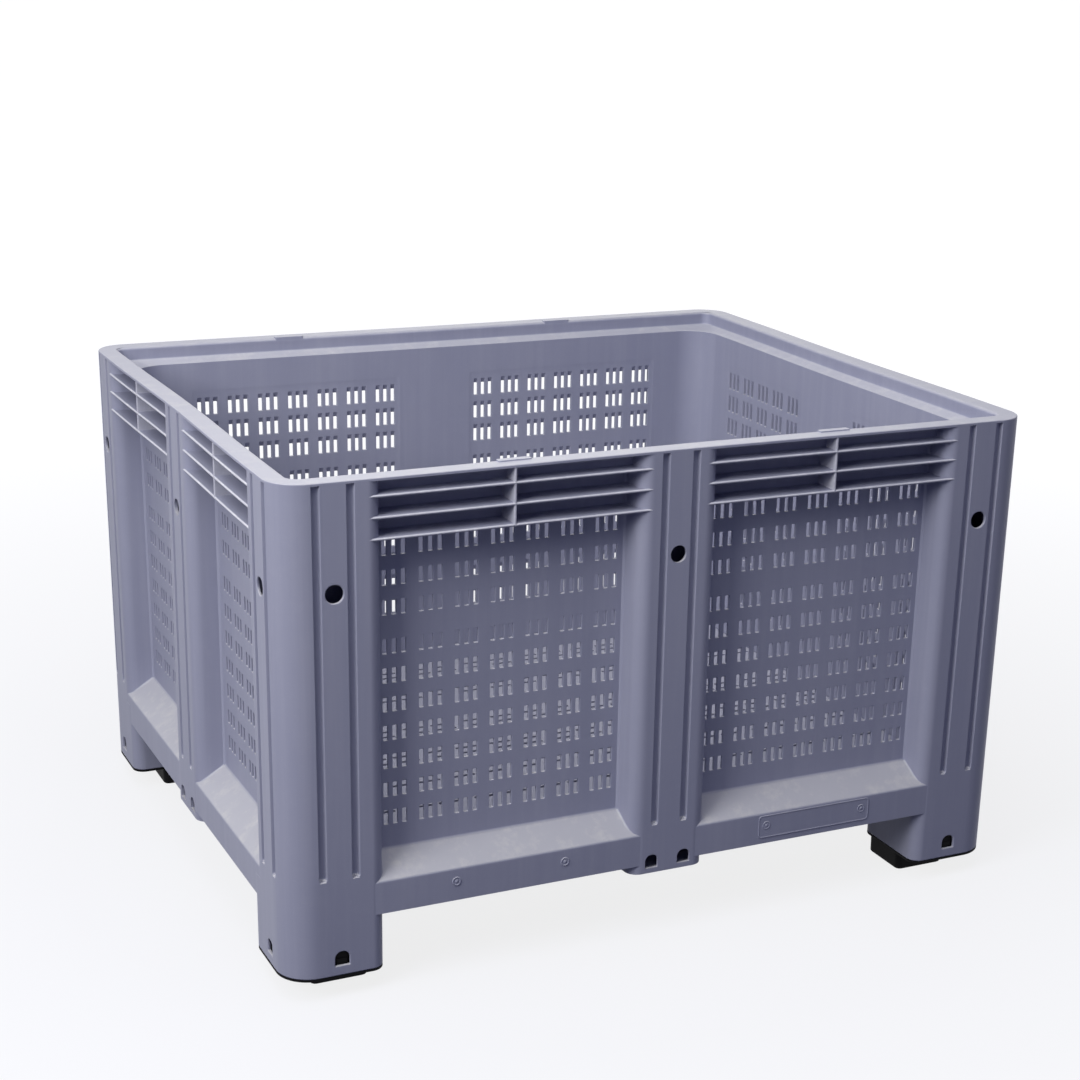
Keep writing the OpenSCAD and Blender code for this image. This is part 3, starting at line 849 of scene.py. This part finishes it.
def rim_ribs_skin(s, side):
    """Three level ribs that run onto the rounded edges, and an upright web through their middle."""
    half, flat, _ = side_facts(s, side)
    left, right = s.column_flat - 1, half - flat + 1
    front, root = 0.05, s.rib_t / 2 + 0.6
    drop = 24  # from the rim down to the first rib
    skin = Skin()
    for k in range(3):
        z = s.rim_z - drop - s.rib_t / 2 - k * s.rib_pitch
        back = s.band_in + 1 if k == 0 else s.recess + 1
        outline = rib_outline(s, front, back, z, root)
        stations = np.linspace(left, right, 19)
        skin.tube(np.stack([joined(x, outline[:, 0], outline[:, 1]) for x in stations]))
    middle = panel_middle(s, side)
    low = s.rim_z - drop - 2 * s.rib_pitch - s.rib_t
    for back, z0, z1 in ((s.recess + 1, low, s.wall_top), (s.band_in + 1, s.wall_top - 1, s.rim_z - 1)):
        outline = rib_outline(s, front + 0.2, back, middle, root)
        skin.tube(np.stack([joined(outline[:, 1], outline[:, 0], z) for z in (z0, z1)]))
    return skin


def rim_skin(s):
    """The rim: a closed section carried round the bin, through its four corners and along its sides.

    Each section point keeps its own depth. Its corner radius is the outside one less the depth as far as
    the turned-down edge, and behind that edge changes evenly with the depth to that of the inside wall.
    """
    plate = s.rim_z - s.rim_t
    band, rim, inner = s.band_in, s.rim_w, s.inner
    soft = 1.4
    # from the outer top edge inwards, down to the ledge and the wall, and back under the rim
    rounds = [
        arc((soft, s.rim_z - soft), soft, 180, 90, 4),
        arc((rim - s.rim_soft, s.rim_z - s.rim_soft), s.rim_soft, 90, 0, 8),
        [(rim, s.ledge_z + 3), (rim + 0.4, s.ledge_z + 1.2), (rim + 1.6, s.ledge_z)],
        [(inner - 2.5, s.wall_top + 0.9), (inner - 0.8, s.wall_top + 0.2), (inner, s.wall_top - 1)],
        [(inner - 0.5, s.wall_top - 1.3), (inner - 0.5, s.wall_top - 5)],
        [(s.recess + 0.5, s.wall_top - 5), (s.recess + 0.5, s.wall_top + 0.2)],
        [(band, s.ledge_z - 5), (band, plate), (0, plate)],
    ]
    section = np.concatenate(rounds)
    depth = section[:, 0]
    radius = np.where(depth <= band, s.corner_r - depth, s.rim_r)
    blend = np.clip((depth - rim) / (inner - rim), 0, 1)
    radius = np.where(depth > rim, s.rim_r + (s.inner_r - s.rim_r) * blend, radius)
    turn = np.radians(np.linspace(0, 90, 15))
    corners = []
    for k, (sx, sy) in enumerate(((1, 1), (-1, 1), (-1, -1), (1, -1))):
        angle = turn + k * math.pi / 2
        x = sx * (s.half_l - depth - radius)[None] + radius[None] * np.cos(angle)[:, None]
        y = sy * (s.half_w - depth - radius)[None] + radius[None] * np.sin(angle)[:, None]
        corners.append(joined(x, y, np.broadcast_to(section[:, 1], x.shape)))
    step = np.linspace(0, 1, 25)[1:-1, None, None]
    loops = []
    for here, there in zip(corners, corners[1:] + corners[:1]):
        loops += [here, here[-1] + (there[0] - here[-1]) * step]
    loops = np.concatenate(loops)
    skin = Skin()
    skin.grid(np.concatenate([loops, loops[:1]]), wrap=True)
    return skin


def lip_skin(s, skin):
    """Adds the four raised stacking lips: low round-topped blocks along the inner edge of the long rims."""
    middle = panel_middle(s, "front")
    for sx in (-1, 1):
        for sy in (-1, 1):
            centre = (sx * middle - sy * s.lip_shift, sy * (s.half_w - s.rim_w + s.lip_w / 2 + 0.2))
            loops = []
            for shrink, z in ((0, -s.rim_soft), (0, s.lip_h - 0.8), (0.25, s.lip_h - 0.25), (0.8, s.lip_h)):
                ring = rounded_box(s.lip_l - 2 * shrink, s.lip_w - 2 * shrink, 2.4 - shrink, 3, centre)
                loops.append(joined(ring[:, 0], ring[:, 1], s.rim_z + z))
            skin.tube(np.stack(loops))


def floor_skin(s):
    """The floor: a slotted plate over a grid of tapered ribs.

    Cells on even pitches, between the ribs, hold six slots each, but for the cells at the four corners.
    """
    cell_l, cell_w, cells = 110, 90, 10
    slot_l, slot_w, side_step, row_step = 38, s.slot_w, 25, 22
    edge = s.inner + 1.5 + s.taper * s.rim_z * 0.8  # inside the tapered walls
    mid = (np.arange(cells) - (cells - 1) / 2)
    xs = (mid[:, None] * cell_l + np.array([-1, 1]) * side_step).ravel()
    ys = (mid[:, None] * cell_w + np.array([-1, 0, 1]) * row_step).ravel()
    grow = 1.0
    slot_corner = 1.8
    ends = np.array([-1, 1])
    slots_x = (xs[:, None] + (slot_l / 2 + grow) * ends).ravel()
    slots_y = (ys[:, None] + (slot_w / 2 + grow) * ends).ravel()
    x_lines = np.concatenate([[edge - s.half_l], slots_x, [s.half_l - edge]])
    y_lines = np.concatenate([[edge - s.half_w], slots_y, [s.half_w - edge]])
    grid_x, grid_y = np.meshgrid(x_lines, y_lines, indexing="xy")
    top = joined(grid_x, s.floor_z, grid_y)
    under = joined(grid_x, s.floor_under, grid_y)
    slots = np.zeros((len(y_lines) - 1, len(x_lines) - 1), bool)
    open_x, open_y = np.abs(np.repeat(mid, 2)) < 4, np.abs(np.repeat(mid, 3)) < 3
    slots[1::2, 1::2] = open_x[None] | open_y[:, None]

    def low(i, j):
        return joined(xs[(j - 1) // 2] - slot_l / 2, ys[(i - 1) // 2] - slot_w / 2)

    def high(i, j):
        return joined(xs[(j - 1) // 2] + slot_l / 2, ys[(i - 1) // 2] + slot_w / 2)

    levels = [
        (low, high, s.floor_z, grow), (low, high, s.floor_z - 0.3, 0.3), (low, high, s.floor_z - 1, 0),
        (low, high, s.floor_under + 0.5, 0.2), (low, high, s.floor_under, grow),
    ]
    flat = Skin()
    slotted_plate(flat, top, under, slots, levels, slot_corner)
    # the plate was made upright, so its depth becomes the height here
    points = np.concatenate(flat.points)[:, [0, 2, 1]]
    skin = Skin()
    skin.points, skin.faces, skin.count = [points], flat.faces, len(points)
    reach_x, reach_y = s.half_l - edge, s.half_w - edge
    clear = 150  # ribs that would cross a foot end this far from the outside
    thin, thick = 2.0, 2.6  # half the thickness of a rib at its free edge and at its root
    for k in range(-4, 5):
        short = reach_y if abs(k * cell_l) < s.half_l - clear else s.half_w - clear
        tapered_rib(skin, (k * cell_l, 0), (thin, short), (thick, short), s)
        short = reach_x if abs(k * cell_w) < s.half_w - clear else s.half_l - clear
        tapered_rib(skin, (0, k * cell_w), (short, thin), (short, thick), s)
    return skin


def tapered_rib(skin, centre, half_low, half_high, s):
    """An upright rib under the floor, thinner at its free edge, between two half sizes."""
    loops = []
    for half, z in ((half_low, s.beam_z), (half_high, s.floor_under + 0.5)):
        ring = rounded_box(2 * half[0], 2 * half[1], 0.8, 2, centre)
        loops.append(joined(ring[:, 0], ring[:, 1], z))
    skin.tube(np.stack(loops))


def cap_skin(s):
    """A foot cap: a flange as wide as the foot, a square plug under it and two latch tongues with a catch.

    Flange and plug are stacks of loops, each shrunk towards the middle by its own amount.
    """
    centre = s.foot_w / 2
    r = s.edge_r
    rim = np.concatenate([
        arc((s.foot_w - r, s.foot_w - r), r, 0, 90, 8), arc((r, s.foot_w - r), r, 90, 180, 8),
        arc((s.corner_r, s.corner_r), s.corner_r, 180, 270, 14), arc((s.foot_w - r, r), r, 270, 360, 8),
    ])
    skin = Skin()
    base, soft = s.foot_z - s.flange_t, 0.8
    loops = []
    for shrink, z in ((soft, base), (0.2, base + 0.3), (0, base + soft), (0, s.foot_z - 0.2)):
        ring = centre + (rim - centre) * (1 - 2 * shrink / s.foot_w)
        loops.append(joined(ring[:, 0], ring[:, 1], z))
    skin.tube(np.stack(loops))
    middle = s.plug_in + s.plug_w / 2
    loops = []
    for shrink, z in ((4, 0), (2.2, 0.4), (1, 1.6), (0.6, 3.5), (0, base + 1)):
        ring = rounded_box(s.plug_w - 2 * shrink, s.plug_w - 2 * shrink, 10 - shrink, 3, (middle, middle))
        loops.append(joined(ring[:, 0], ring[:, 1], z))
    skin.tube(np.stack(loops))
    tongue = (s.window_r - 1, s.skin + 0.6, s.skin + 4.5, s.foot_z - 1, s.window_z + 2 * s.window_r + 3)
    catch = (s.window_r - 2.8, s.skin - 0.6, s.skin + 2, s.window_z + 1, s.window_z + s.window_r - 2)
    for place, swap in ((s.window_long, False), (s.window_short, True)):
        for half, near, far, low, high in (tongue, catch):
            ring = rounded_box(2 * half, far - near, 1, 2, (place, (near + far) / 2))
            ring = ring[:, ::-1] if swap else ring
            skin.tube(np.stack([joined(ring[:, 0], ring[:, 1], z) for z in (low, high)]))
    return skin


def plate_skin(s, middle):
    """The bare plate: a thin rounded slab with a raised border, from loops that shrink and rise in turn."""
    skin = Skin()
    face, z = 0.35, s.pin_z - 2
    border = ((0, -0.5), (0, 0.7), (0.25, 0.95), (0.9, 1.05), (1.5, 0.95), (1.9, 0.6), (2.3, 0.5))
    loops = []
    for shrink, proud in border:
        ring = rounded_box(s.plate_l - 2 * shrink, s.plate_h - 2 * shrink, 6 - shrink, 5, (middle, z))
        loops.append(joined(ring[:, 0], face - proud, ring[:, 1]))
    skin.tube(np.stack(loops))
    return skin


def pin_skin(s, middle):
    """A beam's two pins: a turned head with a rim, a ring-shaped hollow and a domed middle."""
    r = s.pin_d / 2
    turned = [
        (r, -0.5), (r, 0.7), (r - 0.35, 1.25), (r - 1, 1.5), (r - 1.7, 1.3), (r - 2.4, 0.75),
        (r - 3.2, 0.6), (r - 4, 0.8), (r - 4.7, 1.35), (r - 5.6, 1.75), (r - 6.6, 1.9),
    ]
    face = 0.68
    skin = Skin()
    for pm in (-1, 1):
        loops = []
        for radius, proud in turned:
            ring = circle((middle + pm * s.pin_pitch / 2, s.pin_z), radius, 28)
            loops.append(joined(ring[:, 0], face - proud, ring[:, 1]))
        skin.tube(np.stack(loops))
    return skin


def new_material(name):
    """A new material that holds only its output node."""
    material = bpy.data.materials.new(name)
    material.use_nodes = True
    tree = material.node_tree
    tree.nodes.clear()
    output = tree.nodes.new("ShaderNodeOutputMaterial")
    return material, tree, output


def noise(tree, vector, scale, detail=4, roughness=0.55, stretch=None):
    """A noise texture on the object's own coordinates, squeezed by stretch along each axis."""
    node = tree.nodes.new("ShaderNodeTexNoise")
    node.inputs["Scale"].default_value = scale
    node.inputs["Detail"].default_value = detail
    node.inputs["Roughness"].default_value = roughness
    if stretch:
        mapping = tree.nodes.new("ShaderNodeMapping")
        mapping.inputs["Scale"].default_value = stretch
        tree.links.new(vector, mapping.inputs["Vector"])
        vector = mapping.outputs["Vector"]
    tree.links.new(vector, node.inputs["Vector"])
    return node.outputs["Fac"]


def ramp(tree, value, low, high, to_low=0.0, to_high=1.0):
    """Maps a value from one range to another, clamped."""
    node = tree.nodes.new("ShaderNodeMapRange")
    for socket, number in zip(("From Min", "From Max", "To Min", "To Max"), (low, high, to_low, to_high)):
        node.inputs[socket].default_value = number
    tree.links.new(value, node.inputs["Value"])
    return node.outputs["Result"]


def mixed(tree, factor, first, second):
    """A colour between two colours. Each is a socket or a plain colour."""
    node = tree.nodes.new("ShaderNodeMix")
    node.data_type = "RGBA"
    tree.links.new(factor, node.inputs["Factor"])
    for name, value in (("A", first), ("B", second)):
        socket = [i for i in node.inputs if i.name == name and i.type == "RGBA"][0]
        if isinstance(value, bpy.types.NodeSocket):
            tree.links.new(value, socket)
        else:
            socket.default_value = (*value, 1)
    return [o for o in node.outputs if o.type == "RGBA"][0]


def arithmetic(tree, operation, first, second):
    """A value made from two values. Each is a socket or a plain number."""
    node = tree.nodes.new("ShaderNodeMath")
    node.operation = operation
    for socket, value in zip(node.inputs, (first, second)):
        if isinstance(value, bpy.types.NodeSocket):
            tree.links.new(value, socket)
        else:
            socket.default_value = value
    return node.outputs[0]


def weighted(tree, *parts):
    """The sum of some values, each times its weight."""
    total = None
    for value, weight in parts:
        share = arithmetic(tree, "MULTIPLY", value, weight)
        total = share if total is None else arithmetic(tree, "ADD", total, share)
    return total


def dust_and_painted_light_share(tree, place, rub, upward_from, level_share):
    """How much of the dust colour goes over a face, as a product of four values: partly dust, partly painted
    light that makes a face lighter the more it looks up.

    It grows as the normal turns up from upward_from, goes to level_share on level faces, is more near the
    ground and follows the rub spots. In the rib plastic the same share paints a highlight on the rib noses.
    """
    facing, height = (tree.nodes.new("ShaderNodeSeparateXYZ") for _ in range(2))
    tree.links.new(tree.nodes.new("ShaderNodeNewGeometry").outputs["Normal"], facing.inputs["Vector"])
    tree.links.new(place, height.inputs["Vector"])
    upward = ramp(tree, facing.outputs["Z"], upward_from, upward_from + 0.55)
    level = ramp(tree, facing.outputs["Z"], 0.96, 0.995, 1.0, level_share)
    near_ground = ramp(tree, height.outputs["Z"], 0.25, 0.7, 1.4, 1.0)
    dust_and_painted_light = arithmetic(tree, "MULTIPLY", upward, level)
    dust_and_painted_light = arithmetic(tree, "MULTIPLY", dust_and_painted_light, near_ground)
    return arithmetic(tree, "MULTIPLY", dust_and_painted_light, ramp(tree, rub, 0, 1, 0.45, 0.75))


def moulded_plastic(name, base, pale, dust_and_painted_light, roughness, gloss, upward_from=0.2, level_share=1.0):
    """Satin moulded plastic.

    The colour goes from base to pale by a weighted sum of five noises: clouds, upright flow streaks, fine
    upright lines, specks and rub spots. Over it goes the dust_and_painted_light colour: dust, and painted
    light that makes faces lighter the more they look up; in the rib plastic it is a painted highlight on the
    rib noses. The roughness is the given one plus a little of the clouds and the spots. The bump is a
    weighted sum of a fine grain and long waves.
    """
    material, tree, output = new_material(name)
    shader = tree.nodes.new("ShaderNodeBsdfPrincipled")
    place = tree.nodes.new("ShaderNodeTexCoord").outputs["Object"]
    cloud = ramp(tree, noise(tree, place, 3.2, 5), 0.3, 0.7)
    streak = ramp(tree, noise(tree, place, 9, 4, 0.6, (1, 1, 0.09)), 0.42, 0.7)
    line = ramp(tree, noise(tree, place, 60, 3, 0.6, (1, 1, 0.03)), 0.45, 0.75)
    speck = ramp(tree, noise(tree, place, 260, 2, 0.5), 0.62, 0.78)
    rub = ramp(tree, noise(tree, place, 34, 6, 0.7), 0.5, 0.72)
    tone = weighted(tree, (cloud, 0.20), (streak, 0.18), (line, 0.17), (speck, 0.08), (rub, 0.07))
    dust_and_light_share = dust_and_painted_light_share(tree, place, rub, upward_from, level_share)
    # over the tone goes the dust colour: dust, and painted light on the faces that look up
    tree.links.new(mixed(tree, dust_and_light_share, mixed(tree, tone, base, pale), dust_and_painted_light), shader.inputs["Base Color"])
    rough = arithmetic(tree, "ADD", ramp(tree, cloud, 0, 1, -0.03, 0.04), ramp(tree, rub, 0, 1, 0.0, 0.05))
    tree.links.new(arithmetic(tree, "ADD", rough, roughness), shader.inputs["Roughness"])
    shader.inputs["Specular IOR Level"].default_value = gloss
    grain = noise(tree, place, 950, 3, 0.6)
    wave = noise(tree, place, 14, 3, 0.5, (1, 1, 0.35))
    bump = tree.nodes.new("ShaderNodeBump")
    bump.inputs["Strength"].default_value = 0.35
    bump.inputs["Distance"].default_value = 0.004
    tree.links.new(weighted(tree, (grain, 0.012), (wave, 0.10)), bump.inputs["Height"])
    tree.links.new(bump.outputs["Normal"], shader.inputs["Normal"])
    tree.links.new(shader.outputs["BSDF"], output.inputs["Surface"])
    return material


def bin_material(kind):
    """The bin's plastics, made once each. All but the cap's share their roughness and gloss."""
    name = {
        "body": "Grey-blue moulded plastic", "rib": "Grey-blue plastic with painted highlight on rib noses",
        "floor": "Grey-blue plastic with little dust and painted top light", "cap": "Black cap plastic",
    }[kind]
    if name in bpy.data.materials:
        return bpy.data.materials[name]
    tones = bpy.context.scene.fruit_bin_colours
    roughness, gloss = 0.44, 0.26
    # body: dust and painted light on the faces that look up
    if kind == "body":
        return moulded_plastic(name, tones.body, tones.pale, tones.dust_and_painted_light, roughness, gloss)
    # bin floor: the same dust and painted light, with less of it on level faces
    if kind == "floor":
        return moulded_plastic(name, tones.body, tones.pale, tones.dust_and_painted_light, roughness, gloss, level_share=0.45)
    # rib plastic: a painted highlight on the rib noses, from slightly down-facing faces upwards; the level
    # rib tops get none of it
    if kind == "rib":
        return moulded_plastic(name, tones.body, tones.pale, tones.rib_nose_highlight, roughness, gloss, -0.3, 0.0)
    # the cap's paler tone is wear; on the faces that look up it is also painted light
    worn_and_top_light = tuple(2.2 * c for c in tones.cap)
    return moulded_plastic(name, tones.cap, worn_and_top_light, worn_and_top_light, 0.6, 0.08)


class MESH_OT_bin_rim(bpy.types.Operator):
    """Adds the flat stacking rim with its inside ledge and raised lips"""

    bl_idname = "mesh.bin_rim"
    bl_label = "Stacking rim"
    bl_options = {"REGISTER", "UNDO"}

    def execute(self, context):
        s = sizes()
        skin = rim_skin(s)
        lip_skin(s, skin)
        make_piece(
            "stacking_rim_moulding", skin, lambda p: bent(s, p), bin_material("body"),
            ["stacking_rim"],
        )
        return {"FINISHED"}


class MESH_OT_bin_posts(bpy.types.Operator):
    """Adds the four hollow corner posts with their feet"""

    bl_idname = "mesh.bin_posts"
    bl_label = "Corner posts"
    bl_options = {"REGISTER", "UNDO"}

    def execute(self, context):
        s = sizes()
        material = bin_material("body")
        for corner in CORNERS:
            place = on_corner(s, corner)
            node = [f"corner_post_{corner}"]
            for part, skin, nodes in (("post", post_skin(s), node), ("foot", foot_skin(s), ())):
                make_piece(
                    f"{part}_{corner}", skin, place, material, nodes, s.skin, OPENING_ROUND,
                    lambda z: z > s.wall_top - 2 or abs(z - s.floor_under) < 0.1,
                )
        return {"FINISHED"}


class MESH_OT_bin_columns(bpy.types.Operator):
    """Adds the four hollow mid columns"""

    bl_idname = "mesh.bin_columns"
    bl_label = "Mid columns"
    bl_options = {"REGISTER", "UNDO"}

    def execute(self, context):
        s = sizes()
        for side in SIDES:
            make_piece(
                f"column_{side}", column_skin(s), on_side(s, side), bin_material("body"),
                [f"mid_column_{side}"], s.skin, OPENING_ROUND, lambda z: z > s.wall_top - 2,
            )
        return {"FINISHED"}


def half_sides(side):
    """The names and signs of a side's two halves."""
    ends = ("left", "right") if side in ("front", "back") else ("front", "back")
    return tuple(zip(ends, (-1, 1)))


class MESH_OT_bin_panels(bpy.types.Operator):
    """Adds the eight slotted wall panels"""

    bl_idname = "mesh.bin_panels"
    bl_label = "Slotted panels"
    bl_options = {"REGISTER", "UNDO"}

    def execute(self, context):
        s = sizes()
        for side in SIDES:
            for end, half in half_sides(side):
                place, material = on_side(s, side, half), bin_material("body")
                make_piece(
                    f"panel_{side}_{end}", wall_panel_skin(s, side), place, material,
                    [f"wall_panel_{side}_{end}"],
                )
        return {"FINISHED"}


class MESH_OT_bin_ribs(bpy.types.Operator):
    """Adds the stiffening ribs under the rim"""

    bl_idname = "mesh.bin_ribs"
    bl_label = "Rim ribs"
    bl_options = {"REGISTER", "UNDO"}

    def execute(self, context):
        s = sizes()
        for side in SIDES:
            for end, half in half_sides(side):
                place, material = on_side(s, side, half), bin_material("rib")
                make_piece(
                    f"ribs_{side}_{end}", rim_ribs_skin(s, side), place, material,
                    [f"rim_ribs_{side}_{end}"],
                )
        return {"FINISHED"}


class MESH_OT_bin_beams(bpy.types.Operator):
    """Adds the base beams with their sloping sills"""

    bl_idname = "mesh.bin_beams"
    bl_label = "Base beams"
    bl_options = {"REGISTER", "UNDO"}

    def execute(self, context):
        s = sizes()
        for side in SIDES:
            for end, half in half_sides(side):
                place, material = on_side(s, side, half), bin_material("body")
                make_piece(
                    f"beam_{side}_{end}", beam_skin(s, side), place, material,
                    [f"base_beam_{side}_{end}"], wall=4.5,
                )
                make_piece(
                    f"beam_leg_{side}_{end}", beam_inside_skin(s, side), place, material,
                )
        return {"FINISHED"}


class MESH_OT_bin_floor(bpy.types.Operator):
    """Adds the slotted floor and the ribs under it"""

    bl_idname = "mesh.bin_floor"
    bl_label = "Floor"
    bl_options = {"REGISTER", "UNDO"}

    def execute(self, context):
        s = sizes()
        material = bin_material("floor")
        make_piece("floor", floor_skin(s), lambda p: p, material, ["floor_deck"])
        return {"FINISHED"}


class MESH_OT_bin_caps(bpy.types.Operator):
    """Adds the four black foot caps"""

    bl_idname = "mesh.bin_caps"
    bl_label = "Foot caps"
    bl_options = {"REGISTER", "UNDO"}

    def execute(self, context):
        s = sizes()
        for corner in CORNERS:
            make_piece(
                f"cap_{corner}", cap_skin(s), on_corner(s, corner), bin_material("cap"),
                [f"foot_cap_{corner}"],
            )
        return {"FINISHED"}


class MESH_OT_bin_plate(bpy.types.Operator):
    """Adds the bare plate and the pins on the front beams"""

    bl_idname = "mesh.bin_plate"
    bl_label = "Plate and pins"
    bl_options = {"REGISTER", "UNDO"}

    def execute(self, context):
        s = sizes()
        middle, material = panel_middle(s, "front"), bin_material("body")
        right, left = on_side(s, "front"), on_side(s, "front", -1)
        make_piece("bare_plate", plate_skin(s, middle), right, material, ["name_plate"])
        pins = make_piece("pins_right", pin_skin(s, middle), right, material)
        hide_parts("plate_pins")
        make_piece("pins_left", pin_skin(s, middle), left, material)
        return {"FINISHED"}


def area_light(name, place, target, size, power, tint):
    """A square lamp that faces its target."""
    data = bpy.data.lights.new(name, "AREA")
    data.shape, data.size, data.energy, data.color = "SQUARE", size, power, tint
    lamp = bpy.data.objects.new(name, data)
    lamp.location = place
    lamp.rotation_euler = (Vector(target) - Vector(place)).to_track_quat("-Z", "Y").to_euler()
    bpy.context.scene.collection.objects.link(lamp)


def seen_directly(tree):
    """1 for rays from the camera or off a mirror-like surface, 0 for light that falls on the object."""
    path = tree.nodes.new("ShaderNodeLightPath").outputs
    direct = arithmetic(tree, "MAXIMUM", path["Is Camera Ray"], path["Is Glossy Ray"])
    return arithmetic(tree, "MAXIMUM", direct, path["Is Transmission Ray"])


def stage_floor(tone):
    """A floor that keeps the bin's shadow and is lifted to white where it is seen.

    The lift grows evenly with the distance from the middle of the bin.
    """
    material, tree, output = new_material("Stage floor")
    matte = tree.nodes.new("ShaderNodeBsdfDiffuse")
    matte.inputs["Color"].default_value = (*tone, 1)
    lift = tree.nodes.new("ShaderNodeEmission")
    distance = tree.nodes.new("ShaderNodeVectorMath")
    distance.operation = "LENGTH"
    tree.links.new(tree.nodes.new("ShaderNodeTexCoord").outputs["Object"], distance.inputs[0])
    white = ramp(tree, distance.outputs["Value"], 0.8, 3.2, 0.83, 1.0)
    tree.links.new(arithmetic(tree, "MULTIPLY", seen_directly(tree), white), lift.inputs["Strength"])
    both = tree.nodes.new("ShaderNodeAddShader")
    tree.links.new(matte.outputs[0], both.inputs[0])
    tree.links.new(lift.outputs[0], both.inputs[1])
    tree.links.new(both.outputs[0], output.inputs["Surface"])
    half = 60
    mesh = bpy.data.meshes.new("stage_floor")
    corners = joined(half * np.array([-1, 1, 1, -1]), half * np.array([-1, -1, 1, 1]), 0)
    mesh.from_pydata(corners.tolist(), [], [(0, 1, 2, 3)])
    mesh.materials.append(material)
    floor = bpy.data.objects.new("stage_floor", mesh)
    bpy.context.scene.collection.objects.link(floor)


def stage_world():
    """White where it is seen, and a dim blue light on the object."""
    world = bpy.data.worlds.new("Studio")
    world.use_nodes = True
    tree = world.node_tree
    tree.nodes.clear()
    output = tree.nodes.new("ShaderNodeOutputWorld")
    seen, lit = (tree.nodes.new("ShaderNodeBackground") for _ in range(2))
    seen.inputs["Color"].default_value = (1, 1, 1, 1)
    lit.inputs["Color"].default_value = (0.40, 0.45, 1.0, 1)
    lit.inputs["Strength"].default_value = 0.185
    mix = tree.nodes.new("ShaderNodeMixShader")
    tree.links.new(seen_directly(tree), mix.inputs["Fac"])
    tree.links.new(lit.outputs[0], mix.inputs[1])
    tree.links.new(seen.outputs[0], mix.inputs[2])
    tree.links.new(mix.outputs[0], output.inputs["Surface"])
    bpy.context.scene.world = world


class SCENE_OT_bin_stage(bpy.types.Operator):
    """Adds the camera, the soft studio light and the pale floor"""

    bl_idname = "scene.bin_stage"
    bl_label = "Studio stage"

    def execute(self, context):
        scene = context.scene
        data = bpy.data.cameras.new("Camera")
        data.sensor_width, data.lens = 36, 69.732
        data.shift_x, data.shift_y = -0.05273, 0.11083
        camera = bpy.data.objects.new("Camera", data)
        camera.location = (-1.3786, -3.0246, 1.452)
        camera.rotation_euler = [math.radians(a) for a in (70.605, -1.431, -25.849)]
        scene.collection.objects.link(camera)
        scene.camera = camera
        area_light("Key", (-3.0, -1.6, 2.35), (-0.35, 0, 0.5), 1.5, 83, (1.0, 0.985, 0.94))
        area_light("Top", (-0.85, -0.7, 3.1), (-0.05, -0.2, 0.5), 2.6, 73, (1.0, 0.985, 0.90))
        area_light("Sheen", (1.6, 3.4, 2.1), (0, 0, 0.75), 2.0, 12, (1.0, 0.98, 0.90))
        stage_floor(context.scene.fruit_bin_colours.floor)
        stage_world()
        scene.view_settings.view_transform = "Standard"
        return {"FINISHED"}


class VIEW3D_PT_fruit_bin(bpy.types.Panel):
    """Lists the pieces of the bin in the 3D view's sidebar"""

    bl_label = "Fruit Bin"
    bl_idname = "VIEW3D_PT_fruit_bin"
    bl_space_type = "VIEW_3D"
    bl_region_type = "UI"
    bl_category = "Fruit Bin"

    def draw(self, context):
        for operator in OPERATORS:
            self.layout.operator(operator.bl_idname)
        for group in (context.scene.fruit_bin_sizes, context.scene.fruit_bin_colours):
            column = self.layout.column(align=True)
            for name in group.__annotations__:
                column.prop(group, name)


OPERATORS = (
    MESH_OT_bin_rim, MESH_OT_bin_posts, MESH_OT_bin_columns, MESH_OT_bin_panels, MESH_OT_bin_ribs,
    MESH_OT_bin_beams, MESH_OT_bin_floor, MESH_OT_bin_caps, MESH_OT_bin_plate, SCENE_OT_bin_stage,
)
CLASSES = (FruitBinSizes, FruitBinColours, *OPERATORS, VIEW3D_PT_fruit_bin)


def register():
    """Adds the classes and the two groups of settings."""
    for cls in CLASSES:
        bpy.utils.register_class(cls)
    bpy.types.Scene.fruit_bin_sizes = PointerProperty(type=FruitBinSizes)
    bpy.types.Scene.fruit_bin_colours = PointerProperty(type=FruitBinColours)


def unregister():
    """Takes them away again."""
    del bpy.types.Scene.fruit_bin_colours
    del bpy.types.Scene.fruit_bin_sizes
    for cls in reversed(CLASSES):
        bpy.utils.unregister_class(cls)


def main():
    """Calls each operator in turn."""
    register()
    for operator in OPERATORS:
        group, name = operator.bl_idname.split(".")
        getattr(getattr(bpy.ops, group), name)()


if __name__ == "__main__":
    main()
